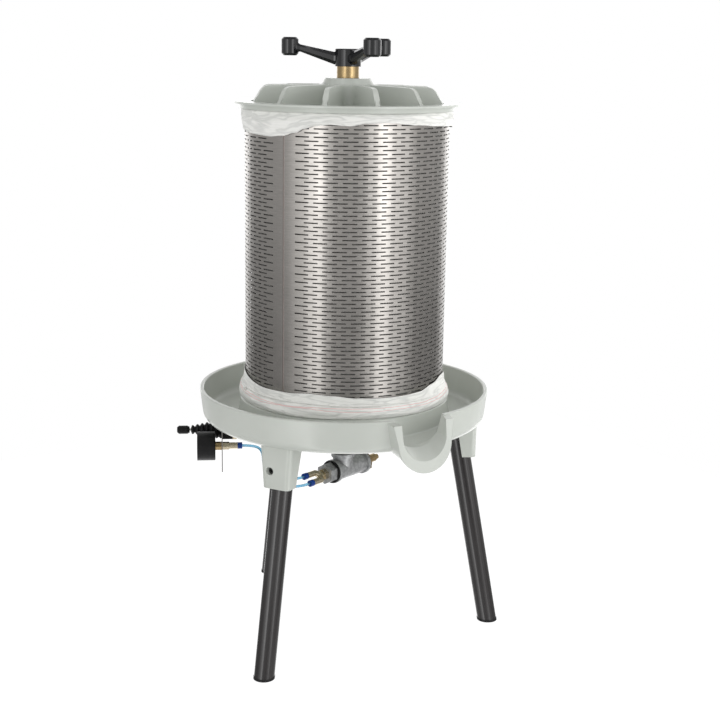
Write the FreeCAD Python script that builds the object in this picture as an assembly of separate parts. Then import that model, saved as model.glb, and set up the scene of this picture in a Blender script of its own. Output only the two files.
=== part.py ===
import FreeCAD, Part
import math
import os

# Pneumatic fruit press, all lengths in millimetres, +Z up.
# The origin is on the floor under the middle of the tie rod, and the spout points along -Y.
# A rubber membrane round a hollow tie rod is blown up with compressed air and squeezes
# the fruit against a cloth-lined perforated basket. The juice runs into the cast tray.

V = FreeCAD.Vector

# Clearances
thread_gap = 0.05        # radial, between a screwed or pressed fit's two pieces
running_gap = 0.05       # radial, round a shaft that turns or slides
slip_gap = 0.3           # between pieces that only lie against each other
seat_gap = 0.2           # under a piece that can be lifted off a hard seat

# Basket: rolled and welded perforated sheet
basket_radius = 210.0
basket_sheet_wall = 2.0
basket_height = 601.7
slot_length = 29.0
slot_width = 2.4
slot_pitch_deg = 10.53
slot_row_pitch = 130.0
slot_row_count = 4
slot_margin = 105.0
seam_angle = -155.2
seam_band_deg = 15.0
weld_width = 3.0
weld_height = 0.5
hoop_width = 4.6
hoop_wall = 2.4

# Cloth
bag_wall = 2.4
cuff_wall = 2.6
top_cuff_height = 40.0
bottom_cuff_height = 46.0
top_cuff_bulge = 4.6
bottom_cuff_flare = 12.0
bottom_cuff_knee = (2.0, 14.0)   # outwards, upwards
bottom_cuff_hem = (1.0, 5.0)
cuff_seal_gap = 0.6
drawstring_radius = 1.3
drawstring_drop = 19.0
drawstring_gap = 1.2
drawstring_knot = (4.5, 8.0)
drawstring_knot_angle = 195.0

# Tray casting
rim_radius = 307.0
rim_top_z = 542.0
rim_width = 8.5
dish_depth = 60.0
dish_floor_wall = 9.0
dish_draft = 8.2
plateau_margin = 16.0
plateau_draft = 4.0
plateau_drop = 18.0
outer_corner = 22.0
channel_corner = 15.0
plateau_corner = 3.0
rim_corner = 1.6
tray_boss_radius = 34.0
tray_boss_drop = 102.0
tray_rib_count = 6
tray_rib_wall = 8.0
tray_rib_depth = 32.0
tray_rib_ends = (12.0, 6.0)   # lower at the boss, higher at the wall
tray_rib_root = 4.0           # how far a rib starts inside the boss
tray_rib_overlap = 2.0        # how far it ends inside the casting

# Spout
spout_reach = 29.0
spout_root_inset = 32.0
spout_throat_inset = 10.0
spout_root_half = (76.0, 63.0)
spout_lip_half = (67.0, 59.0)
spout_root_z = (498.0, 452.0)
spout_lip_z = (498.0, 441.0)
spout_lip_top_z = 537.0
spout_lip_lean_deg = 10.0
throat_half = (63.0, 50.0)
throat_z = (505.0, 481.0)
mouth_half = (51.5, 49.5)
mouth_z = (503.0, 462.0)
lip_bead_width = 6.0
lip_bead_height = 2.2

# Legs
leg_angles = (-147.5, -27.5, 92.5)
leg_names = ("left", "right", "rear")
leg_tube_radius = 21.2
leg_tube_wall = 2.6
leg_lean_deg = 10.5
leg_foot_radius = 328.0
foot_cap_height = 5.0
foot_cap_rim = 0.6
foot_plug_length = 26.0
socket_drop = 154.0
socket_face_reach = 45.7
socket_top_half = 36.5
socket_bottom_half = 30.5
socket_corner = 10.0
leg_bolt_drop = 118.0
leg_bolt_turn = -19.0
leg_bolt_radius = 4.0
leg_bolt_socket = (3.0, 2.5)   # half its width across flats, its floor above the seat
leg_bolt_tip = 3.0             # beyond the nut
leg_nut_bite = 3.0
leg_bolt_head = (6.5, 5.5)
leg_bolt_seat = 29.0
leg_bolt_reach = 80.0
leg_cut_margin = 40.0
floor_slab_margin = 200.0
leg_nut_size = (6.5, 6.5)

# Tie rod and membrane
pipe_radius = 16.7
air_bore_radius = 8.0
air_port_z = 590.0
air_port_radius = 4.0
air_port_margin = 2.0
rod_radius = 12.0
rod_top_rise = 108.4
pipe_thread_length = 15.0
rod_shoulder_z = 610.0
rod_shoulder_rise = 5.0
rod_chamfer = 2.0
washer_size = (30.0, 4.0)
locknut_size = (23.0, 12.0)
lower_flange_size = (62.0, 9.0)
membrane_neck_radius = 27.0
membrane_neck_length = 26.0
membrane_radius = 72.0
membrane_wall = 3.0
membrane_shoulder = 62.0
membrane_knee = 8.0
membrane_top_drop = 27.3
band_wall = 1.2
band_width = 12.0
band_inset = 8.0
band_screw_box = (8.0, 18.0)   # outwards, along the band
band_screw_gap = 0.4
upper_flange_size = (38.0, 6.0)
top_nut_size = (18.0, 10.0)

# Inlet pipework under the tray
inlet_angle = -160.0
tee_drop = 188.0
tee_half_length = 36.0
tee_rear_length = 66.0
tee_radius = 22.0
tee_bead_radius = 25.5
tee_bead_width = 8.0
tee_bore_radius = 15.0
bush_seal_width = 4.0
bush_hex = (19.5, 20.0)
bush_bore_radius = 6.6
bush_thread_length = 16.0
y_hex = (11.5, 9.0)
y_neck_radius = 9.0
y_neck_length = 8.0
y_arm_radius = 6.6
y_port_offset = 10.3
y_arm_x = 107.0
y_tilt_deg = 57.0
collet_radius = 7.0
collet_length = 10.0
collet_floor = 2.0
safety_hex = (15.0, 9.0)
safety_body_radius = 9.0
safety_length = 34.0
safety_thread_length = 14.0
safety_plug_height = 7.0
safety_plug_inset = 4.0
safety_tip_radius = 6.0
safety_tip_length = 10.0
air_tube_radius = 3.0

# Control plate
plate_angle = 155.9
plate_inset = 45.0
plate_wall = 2.0
plate_low = -45.0
plate_left = -65.0
plate_right = 45.0
plate_flange = 24.0
plate_bend = 3.0
plate_screw_x = 36.0
plate_screw_radius = 2.5
plate_screw_head = (4.75, 3.5)
plate_screw_depth = 7.0
gauge_drop = 133.5

# Pressure gauge
gauge_radius = 31.0
gauge_wall = 1.6
gauge_depth = 37.0
gauge_back_wall = 2.5
gauge_neck = (8.0, 13.5)
gauge_stem_radius = 5.0
gauge_stem_reach = 8.0         # behind the plate
gauge_case_round = 2.0
gauge_ledge = (4.5, 4.0)       # inwards from the case's radius, height
gauge_block = (6.0, 18.0)      # half width, length from the neck
gauge_frame = (9.0, 1.5)
bourdon_radius = 16.0
bourdon_rise = 11.0
bourdon_half = (1.5, 3.5)      # half width and half height of the flat tube
bourdon_foot_half = 2.5
bourdon_turn_deg = 250.0
dial_radius = 28.6
dial_wall = 0.8
dial_depth = 9.0
needle_length = 22.0
needle_half_width = 0.9
needle_tail = 6.0
needle_z = (1.2, 1.9)          # needle, hub and arbor's end, above the dial
needle_hub_z = (1.0, 2.4)
needle_hub_radius = 3.2
needle_zero_deg = 135.0
arbor_radius = 1.2
arbor_rise = 2.0
arbor_low = 16.0               # arbor and its hole, from the neck
arbor_hole_z = (10.0, 20.0)
dial_hole_gap = 0.6
lens_wall = 2.0
bezel_size = (3.2, 1.6)
fitting_hex = (7.5, 14.0)
fitting_body = (7.0, 18.0)

# Hand lever valve
valve_x = -50.0
valve_y = 22.5
valve_block = (26.0, 30.0, 22.0)
valve_thread_radius = 11.0
valve_nut = (15.0, 5.0)
valve_bore_radius = 7.5
valve_port = (4.0, -14.0)
valve_port_radius = 5.5
valve_port_depth = 6.0
hose_port = (-12.0, 11.0)
hose_port_radius = 6.0
hose_port_depth = 4.0
lever_pivot_z = -9.0
lever_rod_radius = 3.0
lever_eye_radius = 5.0
lever_eye_width = 5.0
lever_pin_radius = 2.0
knob_radius = 9.0
knob_start = 69.0
knob_length = 27.0
knob_hole_depth = 12.0
knob_base_step = (2.5, 5.0)    # inwards, upwards
knob_top_step = (3.5, 4.0)
boot_base_radius = 20.0
boot_base_height = 4.0
boot_tip_radius = 10.0
boot_length = 66.0
boot_ring_count = 6
boot_ring_depth = 3.0
boot_wall = 2.0
boot_ring_shares = (0.2, 0.6)   # where a ring starts and where its crest is, in its pitch
boot_tip = (2.5, 3.0)          # wall and depth round the rod
boot_nut_gap = 0.4
boot_base_rise = 1.5
port_hex = (7.0, 9.0)
port_body = (6.4, 7.0)
nipple_hex = (7.5, 7.0)
nipple_radius = 5.0
nipple_length = 20.0

# Lid casting
lid_flange_width = 12.4
lid_flange_rise = 9.2
lid_flange_wall = 4.0
lid_skirt_wall = 6.0
lid_skirt_gap = 5.0
lid_skirt_drop = 4.3
lid_spigot_gap = 0.7
lid_underside_drop = 14.3
lid_floor_drop = 6.3
lid_rib_inset = 7.6
lid_rib_count = 12
lid_rib_half = 4.0
lid_rib_draft = 3.0
lid_rib_turn = 17.7
lid_crest_rise = 41.7
lid_rib_slope = 30.0
lid_hub_radius = 46.0
lid_hub_rise = 56.7
lid_pocket_round = 72.0
lid_pocket_corner = 9.0
lid_hub_cavity = (50.0, 19.7)
lid_bore_radius = 13.0
seal_width = 8.8
seal_height = 4.4

# Star handle
thrust_washer_radius = 24.0
thrust_washer_wall = 3.0
brass_radius = 22.7
brass_height = 23.0
brass_spigot = (16.5, 18.0)
handle_hub_radius = 27.0
handle_hub_height = 35.0
handle_hub_roof = 6.0
handle_arm_angles = (143.4, -96.6, 23.4)
arm_hub_steps = (-13.0, 1.0)
arm_grip_steps = (21.5, 15.5, 5.5)
arm_widths = (26.0, 22.0, 15.0, 19.0, 29.0)
arm_heights = (27.0, 25.0, 14.5, 20.0, 31.0)
arm_rises = (15.0, 16.0, 35.0, 36.5, 38.0)
grip_centre_radius = 119.5
grip_radius = 17.8
grip_bottom = 20.0
grip_height = 36.5
grip_corner = 4.5
hub_corner = 2.5
grub_screw_radius = 3.0

# Sizes that follow from the ones above
plateau_top_z = rim_top_z - plateau_drop
plateau_radius = basket_radius + plateau_margin
tray_boss_z = rim_top_z - tray_boss_drop
spout_lip_y = -rim_radius - spout_reach
spout_root_y = spout_root_inset - rim_radius
spout_throat_y = spout_throat_inset - rim_radius
socket_z = rim_top_z - socket_drop
leg_bolt_z = rim_top_z - leg_bolt_drop
plate_radius = rim_radius - plate_inset
gauge_z = rim_top_z - gauge_drop
boss_bore_radius = pipe_radius + thread_gap
tee_z = rim_top_z - tee_drop
pipe_bottom_z = tee_z + tee_half_length - pipe_thread_length
dish_floor_z = rim_top_z - dish_depth
tray_under_z = dish_floor_z - dish_floor_wall
plateau_under_z = plateau_top_z - dish_floor_wall
outer_foot_radius = rim_radius - dish_draft
groove_z = plateau_top_z - 1.5
bottom_seal_top = groove_z + seal_height - 0.6
basket_bottom_z = bottom_seal_top + slip_gap
basket_top_z = basket_bottom_z + basket_height
basket_inner = basket_radius - basket_sheet_wall
bag_radius = basket_inner - slip_gap
bag_inner = bag_radius - bag_wall
rod_top_z = basket_top_z + rod_top_rise
membrane_top_z = basket_top_z - membrane_top_drop
lid_flange_z = basket_top_z + lid_flange_rise
lid_skirt_z = basket_top_z - lid_skirt_drop
lid_underside_z = basket_top_z - lid_underside_drop
lid_floor_z = basket_top_z - lid_floor_drop
lid_crest_z = basket_top_z + lid_crest_rise
lid_hub_z = basket_top_z + lid_hub_rise
lid_spigot_radius = bag_inner - lid_spigot_gap
lid_rib_foot = lid_spigot_radius - lid_rib_inset
lid_shoulder_radius = lid_rib_foot - lid_rib_slope
lid_skirt_inner = basket_radius + lid_skirt_gap
lid_skirt_radius = lid_skirt_inner + lid_skirt_wall
lid_radius = lid_skirt_radius + lid_flange_width
brass_bottom_z = lid_hub_z + seat_gap
handle_z = brass_bottom_z + brass_height
membrane_bottom_z = plateau_top_z + lower_flange_size[1]


# General helpers
def disc(radius, low, high):
    return Part.makeCylinder(radius, high - low, V(0, 0, low))


def ring(outer, inner, low, high):
    return disc(outer, low, high).cut(disc(inner, low, high))


def edge_path(start, steps):
    """Lines and three-point arcs; a step is an end point or a pair (middle, end)."""
    edges = []
    here = V(*start)
    for step in steps:
        if isinstance(step[0], tuple):
            end = V(*step[1])
            edges.append(Part.Arc(here, V(*step[0]), end).toShape())
        else:
            end = V(*step)
            edges.append(Part.makeLine(here, end))
        here = end
    if here.distanceToPoint(V(*start)) > 1e-6:
        edges.append(Part.makeLine(here, V(*start)))
    return Part.Wire(edges)


def turned(points):
    """Solid of revolution about Z from (radius, height) points; a pair of pairs is an arc."""
    def spot(pair):
        return (pair[0], 0, pair[1])
    steps = []
    for point in points[1:]:
        if isinstance(point[0], tuple):
            steps.append((spot(point[0]), spot(point[1])))
        else:
            steps.append(spot(point))
    face = Part.Face(edge_path(spot(points[0]), steps))
    return face.revolve(V(0, 0, 0), V(0, 0, 1), 360)


def circle_edges(shape, places):
    """Edges that are circles about Z at the given (radius, height) places."""
    found = []
    for edge in shape.Edges:
        curve = edge.Curve
        if not isinstance(curve, Part.Circle):
            continue
        for radius, height in places:
            if abs(curve.Radius - radius) < 1e-3 and abs(curve.Center.z - height) < 1e-3:
                found.append(edge)
    return found


def rounded(shape, radius, places):
    return shape.makeFillet(radius, circle_edges(shape, places))


def bevelled(shape, size, places):
    return shape.makeChamfer(size, circle_edges(shape, places))


def polar(radius, angle_deg, height=0.0):
    angle = math.radians(angle_deg)
    return V(radius * math.cos(angle), radius * math.sin(angle), height)


def hexagon(inscribed, low, high):
    reach = inscribed / math.cos(math.radians(30))
    face = Part.Face(Part.makePolygon([polar(reach, 60 * index, low) for index in range(7)]))
    return face.extrude(V(0, 0, high - low))


def spun(shape, angle_deg):
    copy = shape.copy()
    copy.rotate(V(0, 0, 0), V(0, 0, 1), angle_deg)
    return copy


def spun_copies(shape, count, start_deg=0.0):
    return [spun(shape, start_deg + 360.0 * index / count) for index in range(count)]


def placed(shape, origin, x_axis, z_axis):
    """Copy of a shape drawn about its own Z, moved so that its Z and X follow the given axes."""
    z_axis = V(z_axis).normalize()
    y_axis = z_axis.cross(x_axis).normalize()
    x_axis = y_axis.cross(z_axis)
    matrix = FreeCAD.Matrix(x_axis.x, y_axis.x, z_axis.x, origin.x,
                            x_axis.y, y_axis.y, z_axis.y, origin.y,
                            x_axis.z, y_axis.z, z_axis.z, origin.z,
                            0, 0, 0, 1)
    copy = shape.copy()
    copy.transformShape(matrix)
    return copy


def group(shapes):
    return Part.makeCompound(shapes)


# Tray casting
def tray_dish():
    inner_foot = outer_foot_radius + dish_floor_wall * dish_draft / dish_depth - rim_width
    under_plateau = plateau_radius - dish_floor_wall
    dish = turned([
        (boss_bore_radius, plateau_top_z), (plateau_radius - plateau_draft, plateau_top_z),
        (plateau_radius, dish_floor_z), (inner_foot, dish_floor_z),
        (rim_radius - rim_width, rim_top_z), (rim_radius, rim_top_z),
        (outer_foot_radius, tray_under_z), (under_plateau, tray_under_z),
        (under_plateau - plateau_draft, plateau_under_z),
        (tray_boss_radius + plateau_draft, plateau_under_z),
        (tray_boss_radius, tray_boss_z), (boss_bore_radius, tray_boss_z)])
    dish = rounded(dish, outer_corner, [(outer_foot_radius, tray_under_z)])
    dish = rounded(dish, channel_corner, [(inner_foot, dish_floor_z)])
    dish = bevelled(dish, plateau_corner, [(plateau_radius - plateau_draft, plateau_top_z),
                                           (plateau_radius, dish_floor_z)])
    return bevelled(dish, rim_corner, [(rim_radius, rim_top_z), (rim_radius - rim_width, rim_top_z)])


def dish_hollow():
    """The open channel between plateau and rim, to trim what is added outside the wall."""
    inner_foot = outer_foot_radius + dish_floor_wall * dish_draft / dish_depth - rim_width
    high = rim_top_z + 20
    return turned([(plateau_radius, dish_floor_z), (inner_foot, dish_floor_z),
                   (rim_radius - rim_width, rim_top_z), (rim_radius - rim_width, high),
                   (plateau_radius, high)])


def trough_section(y, half, heights, top_z, lean_deg=0.0):
    """Closed U outline across the spout: half widths at the top and at the arc's ends.

    With a lean the outline's plane tips back upwards about the foot of the lip.
    """
    top_half, arc_half = half
    arc_z, bottom_z = heights

    def spot(across, height):
        return (across, y + (height - spout_lip_z[1]) * math.tan(math.radians(lean_deg)), height)

    return edge_path(spot(-top_half, top_z), [
        spot(-arc_half, arc_z), (spot(0, bottom_z), spot(arc_half, arc_z)), spot(top_half, top_z)])


def spout_body():
    root = trough_section(spout_root_y, spout_root_half, spout_root_z, rim_top_z)
    lip = trough_section(spout_lip_y, spout_lip_half, spout_lip_z, spout_lip_top_z, spout_lip_lean_deg)
    body = Part.makeLoft([root, lip], True, True)
    bead_half = tuple(value + lip_bead_height for value in spout_lip_half)
    bead_z = (spout_lip_z[0], spout_lip_z[1] - lip_bead_height)
    bead = Part.Face(trough_section(spout_lip_y, bead_half, bead_z, spout_lip_top_z,
                                    spout_lip_lean_deg))
    bead = bead.extrude(V(0, lip_bead_width, 0))
    return body.fuse(bead).cut(dish_hollow())


def spout_hollow():
    above = rim_top_z + 20
    past = 4
    start = trough_section(spout_root_y + 8, throat_half, (throat_z[0], dish_floor_z + 0.5), above)
    throat = trough_section(spout_throat_y, throat_half, throat_z, above)
    mouth = trough_section(spout_lip_y, mouth_half, mouth_z, above, spout_lip_lean_deg)
    beyond = trough_section(spout_lip_y - past, mouth_half, (mouth_z[0], mouth_z[1] - past / 2), above,
                            spout_lip_lean_deg)
    return Part.makeLoft([start, throat, mouth, beyond], True, True)


def leg_direction(angle):
    lean = math.radians(leg_lean_deg)
    return polar(-math.sin(lean), angle, math.cos(lean))


def leg_axis_radius(height):
    return leg_foot_radius - height * math.tan(math.radians(leg_lean_deg))


def leg_cylinder(radius, angle, low, high):
    """Leaning cylinder about a leg's axis between two heights measured on the axis."""
    start = polar(leg_axis_radius(low), angle, low)
    length = (high - low) / math.cos(math.radians(leg_lean_deg))
    return Part.makeCylinder(radius, length, start, leg_direction(angle))


def socket_section(height, half):
    """Open box outline with round outer corners, whose inner side lies on the leg's axis."""
    inner = leg_axis_radius(height)
    face = leg_axis_radius(tray_under_z) + socket_face_reach
    bulge = socket_corner * (1 - math.cos(math.radians(45)))
    back = face - socket_corner
    flat = half - socket_corner
    return edge_path((inner, -half, height), [
        (back, -half, height),
        ((face - bulge, bulge - half, height), (face, -flat, height)),
        (face, flat, height),
        ((face - bulge, half - bulge, height), (back, half, height)),
        (inner, half, height)])


def leg_socket(angle):
    top = socket_section(tray_under_z + 2, socket_top_half)
    bottom = socket_section(socket_z, socket_bottom_half)
    return spun(Part.makeLoft([bottom, top], True, True), angle)


def bolt_frame(angle):
    """Place and outward direction of a leg's bolt, on the leg's axis."""
    centre = polar(leg_axis_radius(leg_bolt_z), angle, leg_bolt_z)
    return centre, polar(1, angle + leg_bolt_turn)


def bolt_cylinder(angle, radius, start, end):
    centre, out = bolt_frame(angle)
    return Part.makeCylinder(radius, end - start, centre + out * start, out)


def tray_rib():
    """One web between the boss and the plateau wall, drawn along +X."""
    start = tray_boss_radius - tray_rib_root
    end = plateau_radius - dish_floor_wall - plateau_draft + tray_rib_overlap
    low = plateau_under_z - tray_rib_depth
    high = plateau_under_z + tray_rib_overlap
    outline = edge_path((start, 0, high), [(end, 0, high), (end, 0, low + tray_rib_ends[1]),
                                           (start, 0, low - tray_rib_ends[0])])
    face = Part.Face(outline)
    face.translate(V(0, -tray_rib_wall / 2, 0))
    return face.extrude(V(0, tray_rib_wall, 0))


def juice_tray():
    added = [spout_body()]
    removed = [spout_hollow()]
    for angle in leg_angles:
        added.append(leg_socket(angle))
        removed.append(leg_cylinder(leg_tube_radius + thread_gap, angle, socket_z - 30, leg_top_z()))
        removed.append(bolt_cylinder(angle, leg_bolt_radius + thread_gap, 0, leg_bolt_reach))
        removed.append(bolt_cylinder(angle, leg_bolt_head[0] + 1.5, leg_bolt_seat, leg_bolt_reach))
    added += spun_copies(tray_rib(), tray_rib_count, 30)
    tray = tray_dish().multiFuse(added).cut(group(removed))
    groove = ring(basket_radius + seal_width / 2 + thread_gap,
                  basket_radius - seal_width / 2 - thread_gap, groove_z, plateau_top_z + 1)
    tray = tray.cut(groove)
    for side in (-1, 1):
        tray = tray.cut(on_plate(Part.makeCylinder(
            plate_screw_radius + thread_gap, plate_screw_depth,
            plate_screw_place(tray_under_z - gauge_z, side), V(0, 1, 0))))
    return tray


# Legs
def leg_top_z():
    return tray_under_z - slip_gap - leg_tube_radius * math.sin(math.radians(leg_lean_deg))


def floor_slab(low, high):
    size = 2 * leg_foot_radius + floor_slab_margin
    return Part.makeBox(size, size, high - low, V(-size / 2, -size / 2, low))


def leg_tube(angle):
    outer = leg_cylinder(leg_tube_radius, angle, -20, leg_top_z())
    inner = leg_cylinder(leg_tube_radius - leg_tube_wall, angle, -30, leg_top_z() + 10)
    holes = bolt_cylinder(angle, leg_bolt_radius + thread_gap, -leg_cut_margin, leg_cut_margin)
    return outer.cut(inner).cut(floor_slab(-leg_cut_margin, foot_cap_height)).cut(holes)


def foot_cap(angle):
    flange = leg_cylinder(leg_tube_radius + foot_cap_rim, angle, -20, 30)
    flange = flange.common(floor_slab(0, foot_cap_height))
    plug = leg_cylinder(leg_tube_radius - leg_tube_wall - thread_gap, angle, -20, foot_plug_length)
    plug = plug.cut(floor_slab(-leg_cut_margin, 1))
    cup = leg_cylinder(leg_tube_radius - 2 * leg_tube_wall, angle, foot_cap_height, leg_cut_margin)
    return flange.fuse(plug).cut(cup)


def leg_bolt(angle):
    centre, out = bolt_frame(angle)
    head = disc(leg_bolt_head[0], leg_bolt_seat, leg_bolt_seat + leg_bolt_head[1])
    head = head.cut(hexagon(leg_bolt_socket[0], leg_bolt_seat + leg_bolt_socket[1],
                            leg_bolt_seat + 2 * leg_bolt_head[1]))
    shank = disc(leg_bolt_radius, -leg_tube_radius - leg_nut_size[1] - leg_bolt_tip,
                 leg_bolt_seat + leg_bolt_socket[1] / 2)
    return placed(head.fuse(shank), centre, V(0, 0, 1), out)


def leg_nut(angle):
    centre, out = bolt_frame(angle)
    low = -leg_tube_radius - leg_nut_size[1]
    high = leg_nut_bite - leg_tube_radius
    nut = hexagon(leg_nut_size[0], low, high).cut(disc(leg_bolt_radius + thread_gap, low, high))
    saddle = leg_cylinder(leg_tube_radius + thread_gap, angle, leg_bolt_z - leg_cut_margin,
                          leg_bolt_z + leg_cut_margin)
    return placed(nut, centre, V(0, 0, 1), out).cut(saddle)


def leg_nodes():
    nodes = {}
    for name, angle in zip(leg_names, leg_angles):
        nodes["leg_tube_" + name] = leg_tube(angle)
        nodes["foot_cap_" + name] = foot_cap(angle)
    nodes["leg_bolts"] = group([leg_bolt(angle) for angle in leg_angles])
    nodes["leg_nuts"] = group([leg_nut(angle) for angle in leg_angles])
    return nodes


# Tie rod, membrane and what clamps them
def tie_rod():
    rod = turned([(0, pipe_bottom_z), (pipe_radius, pipe_bottom_z), (pipe_radius, rod_shoulder_z),
                  (rod_radius, rod_shoulder_z + rod_shoulder_rise), (rod_radius, rod_top_z - rod_chamfer),
                  (rod_radius - rod_chamfer, rod_top_z), (0, rod_top_z)])
    bore = disc(air_bore_radius, pipe_bottom_z, air_port_z + air_port_radius)
    reach = pipe_radius + air_port_margin
    port = Part.makeCylinder(air_port_radius, 2 * reach, V(-reach, 0, air_port_z), V(1, 0, 0))
    return rod.cut(bore).cut(port)


def membrane():
    low = membrane_bottom_z
    high = membrane_top_z
    neck = membrane_neck_radius + thread_gap
    neck_low = low + membrane_neck_length
    neck_high = high - membrane_neck_length

    def outline(offset):
        radius = membrane_radius - offset
        throat = neck + membrane_wall - offset
        knee = 0.5 * (radius + throat) + membrane_knee
        rise = membrane_shoulder
        return [(throat, low), (throat, neck_low), (knee, neck_low + 0.3 * rise),
                (radius, neck_low + rise), (radius, neck_high - rise),
                (knee, neck_high - 0.3 * rise), (throat, neck_high), (throat, high)]

    return turned(outline(0) + outline(membrane_wall)[::-1])


def clamp_band(height):
    inner = membrane_neck_radius + thread_gap + membrane_wall + thread_gap
    band = ring(inner + band_wall, inner, height, height + band_width)
    screw_box = Part.makeBox(band_screw_box[0], band_screw_box[1], band_width,
                             V(inner + band_screw_gap, -band_screw_box[1] / 2, height))
    screw_box = screw_box.cut(disc(inner, height, height + band_width))
    return band.fuse(screw_box)


def tie_rod_nodes():
    flange_z = plateau_top_z
    lower = ring(lower_flange_size[0], pipe_radius + thread_gap, flange_z,
                 flange_z + lower_flange_size[1])
    lower = lower.fuse(ring(membrane_neck_radius, pipe_radius + thread_gap, flange_z,
                            membrane_bottom_z + membrane_neck_length))
    upper_z = membrane_top_z
    upper = ring(upper_flange_size[0], rod_radius + thread_gap, upper_z,
                 upper_z + upper_flange_size[1])
    upper = upper.fuse(ring(membrane_neck_radius, rod_radius + thread_gap,
                            upper_z - membrane_neck_length, upper_z))
    washer_z = tray_boss_z - washer_size[1]
    nut_z = washer_z - locknut_size[1]
    top_nut_z = upper_z + upper_flange_size[1]
    return {
        "tie_rod": tie_rod(),
        "tie_rod_washer": ring(washer_size[0], boss_bore_radius, washer_z, tray_boss_z),
        "tie_rod_locknut": hexagon(locknut_size[0], nut_z, washer_z).cut(
            disc(boss_bore_radius, nut_z, washer_z)),
        "membrane": membrane(),
        "membrane_flange_lower": lower,
        "membrane_flange_upper": upper,
        "membrane_bands": group([
            clamp_band(membrane_bottom_z + band_inset),
            clamp_band(membrane_top_z - band_inset - band_width)]),
        "membrane_top_nut": hexagon(top_nut_size[0], top_nut_z, top_nut_z + top_nut_size[1]).cut(
            disc(rod_radius + thread_gap, top_nut_z, top_nut_z + top_nut_size[1])),
    }


# Inlet pipework, drawn about its own Z, which becomes the run of the tee
def on_inlet(shape):
    return placed(shape, V(0, 0, tee_z), V(0, 0, 1), polar(1, inlet_angle))


def inlet_tee():
    end = tee_half_length
    rear = -tee_rear_length
    body = disc(tee_radius, rear, end)
    for low in (rear, end - tee_bead_width):
        body = body.fuse(disc(tee_bead_radius, low, low + tee_bead_width))
    body = body.fuse(Part.makeCylinder(tee_radius, end, V(0, 0, 0), V(1, 0, 0)))
    body = body.fuse(Part.makeCylinder(
        tee_bead_radius, tee_bead_width, V(end - tee_bead_width, 0, 0), V(1, 0, 0)))
    body = body.cut(disc(tee_bore_radius, rear, end))
    branch = Part.makeCylinder(boss_bore_radius, end, V(0, 0, 0), V(1, 0, 0))
    return on_inlet(body.cut(branch))


def reducer_bush():
    start = tee_half_length + bush_seal_width
    bush = hexagon(bush_hex[0], start, start + bush_hex[1])
    low = tee_half_length - bush_thread_length
    bush = bush.fuse(disc(tee_bore_radius - thread_gap, low, start))
    return on_inlet(bush.cut(disc(bush_bore_radius, low, start + bush_hex[1])))


def y_side(offset):
    """Point across the fitting's plane, which is tilted about the run."""
    tilt = math.radians(y_tilt_deg)
    return V(offset * math.cos(tilt), offset * math.sin(tilt), 0)


def y_fitting():
    start = tee_half_length + bush_seal_width + bush_hex[1]
    neck = start + y_hex[1]
    body = disc(bush_bore_radius - thread_gap, start - y_neck_length, start)
    body = body.fuse(hexagon(y_hex[0], start, neck))
    body = body.fuse(disc(y_neck_radius, neck, neck + y_neck_length))
    for side in (-1, 1):
        bend = y_side(side * y_port_offset) + V(0, 0, neck + 1.5 * y_neck_length)
        root = V(0, 0, neck + 0.5 * y_neck_length)
        body = body.fuse(Part.makeCylinder(y_arm_radius, (bend - root).Length, root, bend - root))
        body = body.fuse(Part.makeSphere(y_arm_radius, bend))
        body = body.fuse(Part.makeCylinder(y_arm_radius, y_arm_x - bend.z, bend))
    return on_inlet(body)


def collet():
    return disc(collet_radius, 0, collet_length).cut(
        disc(air_tube_radius + thread_gap, collet_floor, collet_length))


def y_collets():
    return group([on_inlet(collet().translated(y_side(side * y_port_offset) + V(0, 0, y_arm_x)))
                  for side in (-1, 1)])


def safety_valve():
    end = -tee_rear_length
    plug_low = end - safety_plug_height
    hex_low = plug_low - safety_hex[1]
    tip = hex_low - safety_length
    body = disc(tee_bore_radius - thread_gap, end, end + safety_thread_length)
    body = body.fuse(hexagon(tee_bead_radius - safety_plug_inset, plug_low, end))
    body = body.fuse(hexagon(safety_hex[0], hex_low, plug_low))
    body = body.fuse(disc(safety_body_radius, tip + safety_tip_length, hex_low))
    return on_inlet(body.fuse(disc(safety_tip_radius, tip, tip + safety_tip_length)))


def inlet_nodes():
    seal = ring(tee_bead_radius - 1, tee_bore_radius, tee_half_length,
                tee_half_length + bush_seal_width)
    return {
        "inlet_tee": inlet_tee(),
        "bush_seal": on_inlet(seal),
        "reducer_bush": reducer_bush(),
        "y_fitting": y_fitting(),
        "y_collets": y_collets(),
        "safety_valve": safety_valve(),
    }


# Control plate; pieces on it are drawn with X along the plate, Y up and Z outwards
def on_plate(shape):
    out = polar(1, plate_angle)
    along = V(-out.y, out.x, 0)
    return placed(shape, out * plate_radius + V(0, 0, gauge_z), along, out)


def plate_block(low, high):
    return Part.makeBox(high[0] - low[0], high[1] - low[1], high[2] - low[2], V(*low))


def control_plate():
    top = tray_under_z - gauge_z
    sheet = plate_block((plate_left, plate_low, -plate_wall), (plate_right, top, 0))
    flange = plate_block((plate_left, top - plate_wall, -plate_flange), (plate_right, top, 0))
    plate = sheet.fuse(flange).removeSplitter()
    corner = [edge for edge in plate.Edges if edge.BoundBox.XLength > 50
              and abs(edge.BoundBox.YMin - top) < 0.01 and abs(edge.BoundBox.ZMin) < 0.01]
    plate = plate.makeFillet(plate_bend, corner)
    plate = plate.cut(disc(gauge_stem_radius + thread_gap, -plate_wall, 0))
    plate = plate.cut(disc(valve_thread_radius + thread_gap, -plate_wall, 0).translated(
        V(valve_x, valve_y, 0)))
    for side in (-1, 1):
        plate = plate.cut(Part.makeCylinder(
            plate_screw_radius + thread_gap, plate_wall,
            plate_screw_place(top - plate_wall, side), V(0, 1, 0)))
    return on_plate(plate)


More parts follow.
